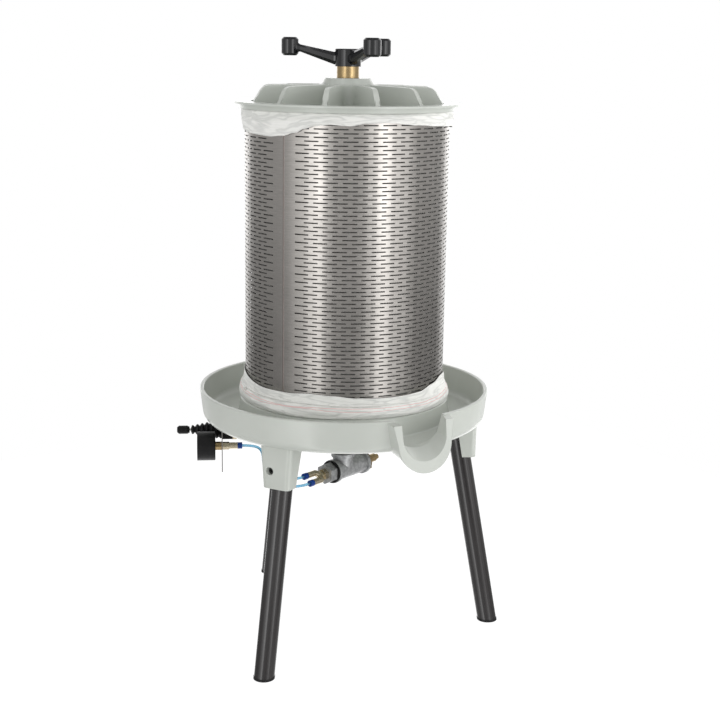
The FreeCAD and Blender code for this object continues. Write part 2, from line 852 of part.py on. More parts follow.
def plate_screw_place(height, side):
    return V(side * plate_screw_x, height, -plate_flange / 2)


def plate_screws():
    screws = []
    under = tray_under_z - gauge_z - plate_wall
    head_radius, head_height = plate_screw_head
    for side in (-1, 1):
        base = plate_screw_place(under, side)
        shank = Part.makeCylinder(plate_screw_radius, plate_wall + plate_screw_depth - 1, base, V(0, 1, 0))
        head = Part.makeCylinder(head_radius, head_height, base, V(0, -1, 0))
        screws.append(on_plate(head.fuse(shank)))
    return group(screws)


# Pressure gauge
def gauge_case():
    base = gauge_neck[1]
    front = base + gauge_depth
    case = rounded(disc(gauge_radius, base, front), gauge_case_round, [(gauge_radius, base)])
    case = case.cut(disc(gauge_radius - gauge_wall, base + gauge_back_wall, front))
    ledge = ring(gauge_radius - gauge_wall, gauge_radius - gauge_ledge[0],
                 front - dial_depth - gauge_ledge[1], front - dial_depth)
    return on_plate(case.fuse(ledge).cut(disc(gauge_stem_radius + thread_gap, base,
                                              base + gauge_back_wall)))


def gauge_stem():
    neck = hexagon(gauge_neck[0], 0, gauge_neck[1])
    stem = disc(gauge_stem_radius, -plate_wall - gauge_stem_reach, gauge_neck[1] + gauge_back_wall)
    half = gauge_block[0]
    block_top = gauge_neck[1] + gauge_block[1]
    block = plate_block((-half, -half, gauge_neck[1] + gauge_back_wall), (half, half, block_top))
    frame = disc(gauge_frame[0], block_top, block_top + gauge_frame[1])
    arbor_hole = disc(arbor_radius + running_gap, gauge_neck[1] + arbor_hole_z[0],
                      gauge_neck[1] + arbor_hole_z[1])
    return on_plate(neck.fuse(stem).fuse(block).fuse(frame).cut(arbor_hole))


def bourdon_tube():
    """C-shaped flattened spring tube whose root sits against the stem's block."""
    height = gauge_neck[1] + bourdon_rise
    section = Part.Wire([Part.Ellipse(V(bourdon_radius, 0, height + bourdon_half[1]),
                                      V(bourdon_radius - bourdon_half[0], 0, height),
                                      V(bourdon_radius, 0, height)).toShape()])
    bend = Part.Face(section).revolve(V(0, 0, 0), V(0, 0, 1), bourdon_turn_deg)
    bend.rotate(V(0, 0, 0), V(0, 0, 1), -90)
    half = bourdon_foot_half
    foot = plate_block((-half, -bourdon_radius, height - half), (half, -gauge_block[0], height + half))
    return on_plate(bend.fuse(foot))


def gauge_nodes():
    front = gauge_neck[1] + gauge_depth
    dial_z = front - dial_depth
    inner = gauge_radius - gauge_wall - thread_gap
    rear = -plate_wall
    fitting = hexagon(fitting_hex[0], rear - fitting_hex[1], rear)
    fitting = fitting.fuse(disc(fitting_body[0], rear - fitting_hex[1] - fitting_body[1],
                                rear - fitting_hex[1]))
    fitting = fitting.cut(disc(gauge_stem_radius + thread_gap, rear - gauge_stem_reach, rear))
    tip = rear - fitting_hex[1] - fitting_body[1]
    top = dial_z + dial_wall
    needle = plate_block((-needle_half_width, -needle_tail, top + needle_z[0]),
                         (needle_half_width, needle_length, top + needle_z[1]))
    needle = needle.fuse(disc(needle_hub_radius, top + needle_hub_z[0], top + needle_hub_z[1]))
    needle = needle.fuse(disc(arbor_radius, gauge_neck[1] + arbor_low, top + arbor_rise))
    needle.rotate(V(0, 0, 0), V(0, 0, 1), needle_zero_deg)
    bezel = ring(gauge_radius, gauge_radius - bezel_size[0], front, front + bezel_size[1])
    return {
        "gauge_case": gauge_case(),
        "gauge_stem": gauge_stem(),
        "gauge_bourdon_tube": bourdon_tube(),
        "gauge_dial": on_plate(ring(dial_radius, arbor_radius + dial_hole_gap, dial_z, top)),
        "gauge_lens": on_plate(disc(inner, front - lens_wall, front)),
        "gauge_bezel": on_plate(bezel),
        "gauge_needle": on_plate(needle),
        "gauge_fitting": on_plate(fitting),
        "gauge_collet": on_plate(placed(collet(), V(0, 0, tip), V(1, 0, 0), V(0, 0, -1))),
    }


# Hand lever valve
def valve_place(shape):
    return on_plate(shape.translated(V(valve_x, valve_y, 0)))


def valve_body():
    width, height, _ = valve_block
    rear = valve_rear()
    body = plate_block((-width / 2, -height / 2 - 4, rear), (width / 2, height / 2 - 4, -plate_wall))
    body = body.fuse(disc(valve_thread_radius, -plate_wall, valve_nut[1] + 0.5))
    body = body.cut(disc(valve_bore_radius, lever_pivot_z - 8, valve_nut[1] + 0.5))
    pin_hole = Part.makeCylinder(lever_pin_radius + thread_gap, width, V(-width / 2, 0, lever_pivot_z),
                                 V(1, 0, 0))
    port = disc(valve_port_radius + thread_gap, rear, rear + valve_port_depth)
    inlet = Part.makeCylinder(hose_port_radius + thread_gap, hose_port_depth, hose_port_place(), V(1, 0, 0))
    return valve_place(body.cut(pin_hole).cut(port.translated(V(*valve_port, 0))).cut(inlet))


def valve_rear():
    return -plate_wall - valve_block[2]


def hose_port_place():
    return V(-valve_block[0] / 2, hose_port[0], valve_rear() + hose_port[1])


def valve_fittings():
    """Nickel plated tube fitting at the rear and the hose nipple on the far side."""
    rear = valve_rear()
    hex_end = rear - port_hex[1]
    fitting = disc(valve_port_radius, rear, rear + valve_port_depth)
    fitting = fitting.fuse(hexagon(port_hex[0], hex_end, rear))
    fitting = fitting.fuse(disc(port_body[0], hex_end - port_body[1], hex_end))
    nipple = disc(hose_port_radius, -hose_port_depth, 0).fuse(hexagon(nipple_hex[0], 0, nipple_hex[1]))
    nipple = nipple.fuse(disc(nipple_radius, nipple_hex[1], nipple_hex[1] + nipple_length))
    nipple = placed(nipple, hose_port_place(), V(0, 1, 0), V(-1, 0, 0))
    return group([valve_place(fitting.translated(V(*valve_port, 0))), valve_place(nipple)])


def valve_collet():
    end = valve_rear() - port_hex[1] - port_body[1]
    return valve_place(placed(collet(), V(*valve_port, end), V(1, 0, 0), V(0, 0, -1)))


def lever_rod():
    side = V(-lever_eye_width / 2, 0, lever_pivot_z)
    rod = disc(lever_rod_radius, lever_pivot_z + 0.7 * lever_eye_radius, knob_start + knob_hole_depth)
    eye = Part.makeCylinder(lever_eye_radius, lever_eye_width, side, V(1, 0, 0))
    hole = Part.makeCylinder(lever_pin_radius + running_gap, lever_eye_width, side, V(1, 0, 0))
    return valve_place(rod.fuse(eye).cut(hole))


def lever_knob():
    top = knob_start + knob_length
    knob = turned([(0, knob_start), (knob_radius - knob_base_step[0], knob_start),
                   (knob_radius, knob_start + knob_base_step[1]), (knob_radius, top - knob_top_step[1]),
                   (knob_radius - knob_top_step[0], top), (0, top)])
    return valve_place(knob.cut(disc(lever_rod_radius + thread_gap, knob_start,
                                     knob_start + knob_hole_depth)))


def lever_boot():
    """Bellows: rings that shrink from the base towards the knob, over a thin wall."""
    start = boot_base_height
    step = (boot_length - start) / boot_ring_count
    outer = [(boot_base_radius, 0), (boot_base_radius, start)]
    for index in range(boot_ring_count):
        share = index / (boot_ring_count - 1)
        crest = boot_base_radius + (boot_tip_radius - boot_base_radius) * share
        low = start + index * step
        outer += [(crest - boot_ring_depth, low + boot_ring_shares[0] * step),
                  (crest, low + boot_ring_shares[1] * step)]
    inner = [(crest - boot_ring_depth - boot_wall, boot_length - step)]
    tip = lever_rod_radius + running_gap
    outer += [(tip + boot_tip[0], boot_length), (tip, boot_length)]
    inner_path = [(tip, boot_length - boot_tip[1])] + inner[::-1]
    base_inner = valve_nut[0] / math.cos(math.radians(30)) + boot_nut_gap
    inner_path += [(base_inner, start + boot_base_rise), (base_inner, 0)]
    return valve_place(turned(outer + inner_path))


def valve_nodes():
    nut = hexagon(valve_nut[0], 0, valve_nut[1]).cut(
        disc(valve_thread_radius + thread_gap, 0, valve_nut[1]))
    pin = Part.makeCylinder(lever_pin_radius, valve_block[0],
                            V(-valve_block[0] / 2, 0, lever_pivot_z), V(1, 0, 0))
    return {
        "valve_body": valve_body(),
        "valve_nut": valve_place(nut),
        "valve_fittings": valve_fittings(),
        "valve_collet": valve_collet(),
        "lever_pin": valve_place(pin),
        "lever_rod": lever_rod(),
        "lever_knob": lever_knob(),
        "lever_boot": lever_boot(),
    }


# Air tubes: straight runs joined by tangent arcs
gauge_tube_route = [
    (-100.4, -45.7, 348.4), (-132.0, -57.2, 348.4), (-164.0, -55.0, 354.0),
    (-183.0, -28.0, 366.0), (-187.0, 10.0, 383.0), (-167.0, 54.6, 402.0),
    (-175.3, 78.4, 408.5), (-206.0, 92.2, 408.5)]
valve_tube_route = [
    (-106.3, -29.5, 359.6), (-134.5, -39.8, 359.6), (-159.0, -38.0, 365.0),
    (-169.0, -14.0, 376.0), (-162.0, 20.0, 389.0), (-141.0, 57.0, 401.0),
    (-134.0, 96.0, 410.0), (-151.0, 117.9, 417.0), (-181.8, 131.7, 417.0)]


def tube_path(points):
    points = [V(*point) for point in points]
    edges = []
    start = points[0]
    for before, corner, after in zip(points, points[1:], points[2:]):
        inward = (corner - before).normalize()
        onward = (after - corner).normalize()
        reach = 0.45 * min((corner - before).Length, (after - corner).Length)
        first = corner - inward * reach
        last = corner + onward * reach
        half_turn = 0.5 * inward.getAngle(onward)
        radius = reach / math.tan(half_turn)
        towards = (onward - inward).normalize()
        middle = corner + towards * (radius / math.cos(half_turn) - radius)
        edges.append(Part.LineSegment(start, first).toShape())
        edges.append(Part.Arc(first, middle, last).toShape())
        start = last
    edges.append(Part.LineSegment(start, points[-1]).toShape())
    return Part.Wire(edges)


def air_tube(points):
    path = tube_path(points)
    first = V(*points[0])
    section = Part.Wire([Part.makeCircle(air_tube_radius, first, V(*points[1]) - first)])
    shell = path.makePipeShell([section], True, False)
    expected = math.pi * air_tube_radius ** 2 * path.Length
    print("tube length %.1f volume share %.4f" % (path.Length, shell.Volume / expected))
    return shell


def tube_nodes():
    return {"air_tube_gauge": air_tube(gauge_tube_route), "air_tube_valve": air_tube(valve_tube_route)}


# Basket with its cloth
def slot_row(row):
    """One row of slots round the sheet, left out where the plain seam band is."""
    height = basket_bottom_z + slot_margin + row * slot_row_pitch
    zone = 360 - seam_band_deg
    count = int(zone / slot_pitch_deg) - row % 2
    first = seam_angle + 180 - 0.5 * (count - 1) * slot_pitch_deg
    slot = Part.makeBox(basket_sheet_wall + 6, slot_length, slot_width,
                        V(basket_inner - 3, -slot_length / 2, height))
    return [spun(slot, first + index * slot_pitch_deg) for index in range(count)]


def basket_sheet():
    sheet = ring(basket_radius, basket_inner, basket_bottom_z, basket_top_z)
    middle = basket_radius - 0.5 * basket_sheet_wall
    length = basket_height - 2 * hoop_width
    weld = Part.makeBox(basket_radius + weld_height - middle, weld_width, length,
                        V(middle, -weld_width / 2, basket_bottom_z + hoop_width))
    slots = []
    for row in range(slot_row_count):
        slots += slot_row(row)
    return sheet.cut(group(slots)).fuse(spun(weld, seam_angle))


def basket_hoops():
    inner = basket_radius + weld_height + slip_gap
    hoops = []
    for low in (basket_bottom_z, basket_top_z - hoop_width):
        hoops.append(ring(inner + hoop_wall, inner, low, low + hoop_width))
    return group(hoops)


def top_cuff():
    low = lid_skirt_z - slip_gap - top_cuff_height
    high = lid_skirt_z - slip_gap
    hoop_low = basket_top_z - hoop_width - slip_gap
    inner = basket_radius + weld_height + slip_gap
    wide = inner + hoop_wall + slip_gap
    return turned([
        (inner, low), (inner, hoop_low), (wide, hoop_low), (wide, high),
        (wide + cuff_wall, high), (wide + cuff_wall + top_cuff_bulge, 0.5 * (low + high)),
        (inner + cuff_wall, low)])


def bottom_cuff():
    low = plateau_top_z + slip_gap
    high = low + bottom_cuff_height
    hoop_high = basket_bottom_z + hoop_width + slip_gap
    inner = basket_radius + weld_height + slip_gap
    wide = inner + hoop_wall + slip_gap
    seal_clear = basket_radius + seal_width / 2 + cuff_seal_gap
    return turned([
        (seal_clear, low), (seal_clear, basket_bottom_z), (wide, basket_bottom_z),
        (wide, hoop_high), (inner, hoop_high), (inner, high), (inner + cuff_wall, high),
        (inner + cuff_wall + bottom_cuff_knee[0], low + bottom_cuff_knee[1]),
        (inner + bottom_cuff_flare, low + bottom_cuff_hem[1]),
        (inner + bottom_cuff_flare - bottom_cuff_hem[0], low)])


def drawstring():
    """Cord drawn round the cuff below its upper hem, with its knot at one side."""
    inner = basket_radius + weld_height + 2 * slip_gap + cuff_wall + drawstring_gap
    outer = inner + 2 * drawstring_radius
    height = plateau_top_z + bottom_cuff_height - drawstring_drop
    reach = 0.5 * drawstring_radius
    loop = turned([(inner, height - reach), (inner + reach, height - 2 * reach),
                   (outer - reach, height - 2 * reach), (outer, height - reach),
                   (outer, height + reach), (outer - reach, height + 2 * reach),
                   (inner + reach, height + 2 * reach), (inner, height + reach)])
    knot = Part.makeCylinder(drawstring_knot[0], drawstring_knot[1], V(outer - reach, 0, height), V(1, 0, 0))
    return loop.fuse(spun(knot, drawstring_knot_angle))


def basket_nodes():
    return {
        "basket_sheet": basket_sheet(),
        "basket_hoops": basket_hoops(),
        "press_bag": ring(bag_radius, bag_inner, basket_bottom_z, basket_top_z),
        "top_cuff": top_cuff(),
        "bottom_cuff": bottom_cuff(),
        "drawstring": drawstring(),
        "basket_seal": ring(basket_radius + seal_width / 2, basket_radius - seal_width / 2,
                            groove_z, bottom_seal_top),
    }


# Lid casting
def lid_envelope():
    hub_foot = lid_hub_radius + 7
    seal_roof = basket_top_z + slip_gap + seal_height
    cavity_radius = lid_hub_cavity[0]
    cavity_z = basket_top_z + lid_hub_cavity[1]
    return turned([
        (lid_bore_radius, lid_hub_z), (lid_hub_radius, lid_hub_z),
        (hub_foot, lid_crest_z + 3), (lid_shoulder_radius, lid_crest_z),
        ((lid_shoulder_radius + 9, lid_crest_z - 3), (lid_shoulder_radius + 17, lid_crest_z - 11)),
        (lid_rib_foot, lid_flange_z), (lid_radius, lid_flange_z),
        (lid_radius, lid_flange_z - lid_flange_wall),
        (lid_skirt_radius + 1.5, lid_flange_z - lid_flange_wall), (lid_skirt_radius, lid_skirt_z),
        (lid_skirt_inner, lid_skirt_z), (lid_skirt_inner, seal_roof),
        (lid_spigot_radius, seal_roof), (lid_spigot_radius, lid_underside_z + 3),
        (lid_spigot_radius - 3, lid_underside_z),
        (cavity_radius, lid_underside_z), (cavity_radius - 3, cavity_z),
        (lid_bore_radius, cavity_z)])


def pocket_outline(height, rib_half):
    """Space between two ribs, symmetric about +X, round at the hub end."""
    half_step = math.radians(180.0 / lid_rib_count)
    tip = lid_pocket_round
    tip_radius = tip * math.sin(half_step) - rib_half
    tangent_x = tip - tip_radius * math.sin(half_step)
    tangent_y = tip_radius * math.cos(half_step)
    far_angle = half_step - math.asin(rib_half / lid_rib_foot)
    far_x = lid_rib_foot * math.cos(far_angle)
    far_y = lid_rib_foot * math.sin(far_angle)
    return edge_path((tangent_x, tangent_y, height), [
        ((tip - tip_radius, 0, height), (tangent_x, -tangent_y, height)),
        (far_x, -far_y, height),
        ((lid_rib_foot, 0, height), (far_x, far_y, height))])


def lid_pocket():
    top = lid_hub_z + 6
    low = pocket_outline(lid_floor_z, lid_rib_half + lid_rib_draft)
    high = pocket_outline(top, lid_rib_half)
    pocket = Part.makeLoft([low, high], True, True)
    floor_edges = [edge for edge in pocket.Edges if edge.BoundBox.ZMax < lid_floor_z + 0.01]
    return pocket.makeChamfer(lid_pocket_corner, floor_edges)


def lid():
    pockets = spun_copies(lid_pocket(), lid_rib_count, lid_rib_turn + 180.0 / lid_rib_count)
    body = lid_envelope().cut(group(pockets))
    recess = disc(thrust_washer_radius + seat_gap, lid_hub_z - thrust_washer_wall, lid_hub_z + 1)
    return body.cut(recess)


def lid_seal():
    low = basket_top_z + slip_gap
    return ring(lid_skirt_inner - thread_gap, lid_spigot_radius + thread_gap, low, low + seal_height)


# Star handle
def octagon_section(reach, width, height, middle_z):
    """Eight-sided section across an arm that runs along +X."""
    cut = 0.3
    corners = []
    for across, up in ((0.5, cut - 0.5), (0.5, 0.5 - cut), (0.5 - cut, 0.5), (cut - 0.5, 0.5),
                       (-0.5, 0.5 - cut), (-0.5, cut - 0.5), (cut - 0.5, -0.5), (0.5 - cut, -0.5)):
        corners.append(V(reach, across * width, middle_z + up * height))
    corners.append(corners[0])
    return Part.makePolygon(corners)


def handle_arm():
    low = handle_z
    reaches = [handle_hub_radius + step for step in arm_hub_steps]
    reaches += [grip_centre_radius - step for step in arm_grip_steps]
    sections = [octagon_section(reach, width, height, low + rise) for reach, width, height, rise
                in zip(reaches, arm_widths, arm_heights, arm_rises)]
    arm = Part.makeLoft(sections, True, True)
    grip_low = low + grip_bottom
    grip_high = grip_low + grip_height
    neck = grip_radius - grip_corner
    grip = turned([(0, grip_low), (neck, grip_low), (grip_radius, grip_low + grip_corner),
                   (grip_radius, grip_high - grip_corner), (neck, grip_high), (0, grip_high)])
    return arm.fuse(grip.translated(V(grip_centre_radius, 0, 0)))


def star_handle():
    high = handle_z + handle_hub_height
    hub = rounded(disc(handle_hub_radius, handle_z, high), hub_corner, [(handle_hub_radius, high)])
    arms = [spun(handle_arm(), angle) for angle in handle_arm_angles]
    body = hub.multiFuse(arms)
    spigot_hole = disc(brass_spigot[0] + thread_gap, handle_z, handle_z + brass_spigot[1])
    rod_hole = disc(rod_radius + running_gap, handle_z, high - handle_hub_roof)
    grub = Part.makeCylinder(grub_screw_radius + thread_gap, handle_hub_radius,
                             V(0, 0, handle_z + 7), polar(1, grub_angle()))
    return body.cut(spigot_hole).cut(rod_hole).cut(grub)


def grub_angle():
    return handle_arm_angles[0] - 60


def brass_nut():
    body = disc(brass_radius, brass_bottom_z, handle_z)
    body = body.fuse(disc(brass_spigot[0], handle_z, handle_z + brass_spigot[1]))
    return body.cut(disc(rod_radius + running_gap, brass_bottom_z, handle_z + brass_spigot[1]))


def grub_screw():
    start = brass_spigot[0] + thread_gap
    screw = disc(grub_screw_radius, start, handle_hub_radius - 1)
    screw = screw.cut(hexagon(1.5, handle_hub_radius - 4, handle_hub_radius + 1))
    return placed(screw, V(0, 0, handle_z + 7), V(0, 0, 1), polar(1, grub_angle()))


def lid_nodes():
    washer_z = lid_hub_z - thrust_washer_wall
    return {
        "lid": lid(),
        "lid_seal": lid_seal(),
        "thrust_washer": ring(thrust_washer_radius, rod_radius + running_gap, washer_z + 0.1,
                              lid_hub_z),
        "brass_nut": brass_nut(),
        "star_handle": star_handle(),
        "grub_screw": grub_screw(),
    }


def main():
    nodes = {"juice_tray": juice_tray()}
    nodes.update(leg_nodes())
    nodes.update(tie_rod_nodes())
    nodes.update(inlet_nodes())
    nodes["control_plate"] = control_plate()
    nodes["plate_screws"] = plate_screws()
    nodes.update(gauge_nodes())
    nodes.update(valve_nodes())
    nodes.update(tube_nodes())
    nodes.update(basket_nodes())
    nodes.update(lid_nodes())
    os.makedirs("parts", exist_ok=True)
    for name, shape in nodes.items():
        shape.exportStep("parts/" + name + ".step")
        print("%-24s solids %d valid %s volume %.0f" % (
            name, len(shape.Solids), shape.isValid(), shape.Volume))


main()
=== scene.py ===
"""Dresses the pneumatic fruit press: finishes, perforated basket, press cloth, cords and studio.

Every length is in metres in the part's own frame. The press stands on the floor at z = 0, the tie
rod is the Z axis and the juice spout points along -Y. Angles are in degrees.
"""

import logging
import math
import random
from dataclasses import dataclass, field
from enum import Enum
from typing import Any, Callable, Optional, Sequence

import bmesh
import bpy
from mathutils import Matrix, Vector, noise

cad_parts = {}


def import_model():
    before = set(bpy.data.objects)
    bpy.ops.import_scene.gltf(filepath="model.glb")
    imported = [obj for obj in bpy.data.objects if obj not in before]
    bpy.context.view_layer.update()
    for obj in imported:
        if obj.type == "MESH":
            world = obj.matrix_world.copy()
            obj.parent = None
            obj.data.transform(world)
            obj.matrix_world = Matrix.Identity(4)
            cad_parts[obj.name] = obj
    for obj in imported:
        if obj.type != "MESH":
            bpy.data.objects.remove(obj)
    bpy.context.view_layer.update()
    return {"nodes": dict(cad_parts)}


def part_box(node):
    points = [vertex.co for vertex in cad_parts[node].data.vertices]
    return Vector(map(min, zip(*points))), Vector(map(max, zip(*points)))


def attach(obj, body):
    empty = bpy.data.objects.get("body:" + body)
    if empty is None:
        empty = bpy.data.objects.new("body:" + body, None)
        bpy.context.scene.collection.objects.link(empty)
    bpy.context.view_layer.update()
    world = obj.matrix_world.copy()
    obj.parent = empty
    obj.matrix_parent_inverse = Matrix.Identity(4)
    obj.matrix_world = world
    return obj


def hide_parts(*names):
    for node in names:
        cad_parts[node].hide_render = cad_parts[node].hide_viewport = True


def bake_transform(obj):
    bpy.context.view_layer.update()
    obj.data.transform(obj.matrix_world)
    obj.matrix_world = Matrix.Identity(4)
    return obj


LOG = logging.getLogger("press")
MM = 0.001
CENTRE = (0.0, 0.0, 0.0)
Point = tuple[float, float, float]
Pair = tuple[float, float]
Sockets = tuple[tuple[str, Any], ...]
Tree = bpy.types.NodeTree
Node = bpy.types.Node
Socket = bpy.types.NodeSocket
Item = bpy.types.Object
Shape = bmesh.types.BMesh


# Small shared helpers
def linear(code: str) -> tuple[float, float, float, float]:
    """Turn an sRGB hex value into linear colour.

    Args:
        code: Six hex digits after a hash sign.

    Returns:
        Linear red, green and blue, and an alpha of 1.
    """
    parts = [int(code[place:place + 2], 16) / 255 for place in (1, 3, 5)]
    red, green, blue = [c / 12.92 if c <= 0.04045 else ((c + 0.055) / 1.055) ** 2.4 for c in parts]
    return red, green, blue, 1.0


def add_node(tree: Tree, kind: str, settings: Optional[dict[Any, Any]] = None,
             links: Optional[dict[Any, Socket]] = None) -> Node:
    """Add a shader node with its settings and links.

    Args:
        tree: Node tree that takes the node.
        kind: Class name of the node, after its prefix.
        settings: Node properties, and default values of inputs by name or index.
        links: Output sockets to link, by input name or index.

    Returns:
        The new node.
    """
    node = tree.nodes.new("ShaderNode" + kind)
    for key, value in (settings or {}).items():
        if isinstance(key, str) and hasattr(node, key):
            setattr(node, key, value)
        else:
            node.inputs[key].default_value = value
    for key, socket in (links or {}).items():
        tree.links.new(socket, node.inputs[key])
    return node


def polar(radius: float, angle: float, height: float) -> Vector:
    """Return the point at that radius, angle in degrees and height."""
    turn = math.radians(angle)
    return Vector((radius * math.cos(turn), radius * math.sin(turn), height))


def spin(angle: float, axis: str = "Z", size: int = 3) -> Matrix:
    """Return the matrix of a turn in degrees about an axis."""
    return Matrix.Rotation(math.radians(angle), size, axis)


def eased(table: Sequence[Pair], place: float) -> float:
    """Read a table of (place, value) with smooth steps between its entries.

    Args:
        table: Entries in rising order of place.
        place: Where to read it.

    Returns:
        The value there.
    """
    for (left, low), (right, high) in zip(table, table[1:]):
        if left <= place <= right:
            share = (place - left) / (right - left)
            return low + (high - low) * share * share * (3 - 2 * share)
    return table[-1][1]


def around(table: Sequence[Pair], angle: float) -> float:
    """Read a closed table of (angle, value) with smooth steps between its entries.

    Args:
        table: Entries in rising order of angle, from -180 up to less than 180.
        angle: Angle in degrees.

    Returns:
        The value at that angle.
    """
    (first, start), (last, end) = table[0], table[-1]
    closed = [(last - 360.0, end), *table, (first + 360.0, start)]
    return eased(closed, (angle + 180.0) % 360.0 - 180.0)


class Body(Enum):
    """The bodies that carry new pieces."""

    STAND = "stand"
    BASKET = "basket"
    LEVER = "lever"


# Finishes
class Kind(Enum):
    """What draws a pattern: soft noise, round cells, or bands up the Z axis."""

    NOISE = "TexNoise"
    CELLS = "TexVoronoi"
    BANDS = "TexWave"


@dataclass(frozen=True)
class Pattern:
    """A pattern on a surface: its kind, its scale in repeats to the metre and its detail."""

    kind: Kind
    scale: float
    detail: Optional[float] = None
    stretch: Optional[Point] = None

    def draw(self, tree: Tree, place: Socket) -> Socket:
        """Add the pattern's nodes.

        Args:
            tree: Node tree that takes them.
            place: Coordinates in metres.

        Returns:
            The pattern, from 0 to 1.
        """
        if self.stretch:
            place = add_node(tree, "Mapping", {"Scale": self.stretch}, {"Vector": place}).outputs[0]
        settings: dict[str, Any] = {"Scale": self.scale}
        if self.detail is not None:
            settings["Detail"] = self.detail
        if self.kind is Kind.BANDS:
            settings.update(wave_type="BANDS", bands_direction="Z")
        node = add_node(tree, self.kind.value, settings, {"Vector": place})
        return node.outputs["Distance" if self.kind is Kind.CELLS else "Fac"]


@dataclass(frozen=True)
class Finish:
    """A finish: what a surface is made of and how it was made.

    The relief pattern stands out by a strength and a depth, the shade pattern turns the colour
    towards a second one, and the wander pattern moves the roughness by a spread either way.
    Sockets are further values of the shader. A finish whose edge is 0 has no rounded edges.
    """

    name: str
    colour: str
    roughness: float
    metallic: float = 0.0
    edge: float = 0.6 * MM
    relief: Optional[Pattern] = None
    strength: float = 0.0
    depth: float = 0.0
    shade: Optional[Pattern] = None
    second: str = "#000000"
    wander: Optional[Pattern] = None
    spread: float = 0.0
    sockets: Sockets = ()

    def build(self) -> bpy.types.Material:
        """Make the material.

        Returns:
            The material with its shader and patterns.
        """
        material = bpy.data.materials.new(self.name)
        material.use_nodes = True
        shader = material.node_tree.nodes["Principled BSDF"]
        for name, value in (("Base Color", linear(self.colour)), ("Roughness", self.roughness),
                            ("Metallic", self.metallic), *self.sockets):
            shader.inputs[name].default_value = value
        for name, socket in self.dress(material.node_tree).items():
            material.node_tree.links.new(socket, shader.inputs[name])
        return material

    def dress(self, tree: Tree) -> dict[str, Socket]:
        """Round the edges and draw the patterns.

        Args:
            tree: The material's node tree.

        Returns:
            What to link to the shader, by the shader's input.
        """
        place = add_node(tree, "TexCoord").outputs["Object"]
        drawn = {pattern: pattern.draw(tree, place)
                 for pattern in dict.fromkeys((self.relief, self.shade, self.wander)) if pattern}
        links: dict[str, Socket] = {}
        if self.edge:
            links["Normal"] = add_node(tree, "Bevel", {"samples": 4, "Radius": self.edge}).outputs[0]
        if self.relief:
            bump = add_node(tree, "Bump", {"Strength": self.strength, "Distance": self.depth},
                            {"Height": drawn[self.relief], **links})
            links["Normal"] = bump.outputs[0]
        if self.shade:
            mix = add_node(tree, "Mix", {"data_type": "RGBA", 6: linear(self.colour),
                                         7: linear(self.second)}, {0: drawn[self.shade]})
            links["Base Color"] = mix.outputs[2]
        if self.wander:
            span = add_node(tree, "MapRange", {"From Min": 0.3, "From Max": 0.7,
                                               "To Min": self.roughness - self.spread,
                                               "To Max": self.roughness + self.spread},
                            {"Value": drawn[self.wander]})
            links["Roughness"] = span.outputs[0]
        return links


@dataclass(frozen=True)
class StovedEnamel(Finish):
    """Enamel stoved on a casting: a soft satin skin with orange peel 4 mm across.

    Its colour pools in clouds 90 mm across.
    """

    relief: Pattern = Pattern(Kind.NOISE, 250.0, 2.0)
    strength: float = 0.10
    depth: float = 0.25 * MM
    shade: Pattern = Pattern(Kind.NOISE, 11.0, 3.0)
    second: str = "#BEC2BB"
    wander: Pattern = shade
    spread: float = 0.05
    sockets: Sockets = (("Coat Weight", 0.6), ("Coat Roughness", 0.12))


@dataclass(frozen=True)
class HammeredPaint(Finish):
    """Hammered paint on tube: shallow dimples 3.5 mm across with a fine fleck, under a gloss."""

    relief: Pattern = Pattern(Kind.CELLS, 280.0)
    strength: float = 0.22
    depth: float = 0.4 * MM
    shade: Pattern = Pattern(Kind.NOISE, 700.0, 2.0)
    second: str = "#241F1F"
    wander: Pattern = shade
    spread: float = 0.08
    sockets: Sockets = (("Coat Weight", 1.0), ("Coat Roughness", 0.10), ("Specular IOR Level", 0.15))


@dataclass(frozen=True)
class RolledSheet(Finish):
    """Cold rolled stainless sheet: fine grain lines along the roll and soft, wide reflections.

    The grain runs round the sheet, and is drawn about 1 mm apart so that it shows.
    """

    edge: float = 0.0
    relief: Pattern = Pattern(Kind.NOISE, 1.0, 4.0, stretch=(40.0, 40.0, 900.0))
    strength: float = 0.10
    depth: float = 0.1 * MM
    shade: Pattern = relief
    second: str = "#8F8C88"
    wander: Pattern = Pattern(Kind.NOISE, 14.0, 2.0)
    spread: float = 0.04


@dataclass(frozen=True)
class TurnedMetal(Finish):
    """Metal off the lathe or plated over lathe marks: an uneven grain under 1 mm, light stains."""

    relief: Pattern = Pattern(Kind.NOISE, 1500.0, 2.0)
    strength: float = 0.12
    depth: float = 0.08 * MM
    wander: Pattern = Pattern(Kind.NOISE, 120.0, 3.0)
    spread: float = 0.07


@dataclass(frozen=True)
class ThreadedSteel(Finish):
    """Bright steel rod with a rolled thread of 3 mm pitch, drawn as rings along the rod."""

    relief: Pattern = Pattern(Kind.BANDS, math.pi / (10.0 * 3.0 * MM))
    strength: float = 0.8
    depth: float = 0.9 * MM
    shade: Pattern = relief
    second: str = "#A9A9A6"


@dataclass(frozen=True)
class GalvanisedIron(Finish):
    """Malleable iron dipped in zinc: sand grain 1.6 mm across under a mottle 6 mm across."""

    relief: Pattern = Pattern(Kind.NOISE, 600.0, 3.0)
    strength: float = 0.35
    depth: float = 0.3 * MM
    shade: Pattern = Pattern(Kind.CELLS, 160.0)
    second: str = "#8E8F90"
    wander: Pattern = relief
    spread: float = 0.1


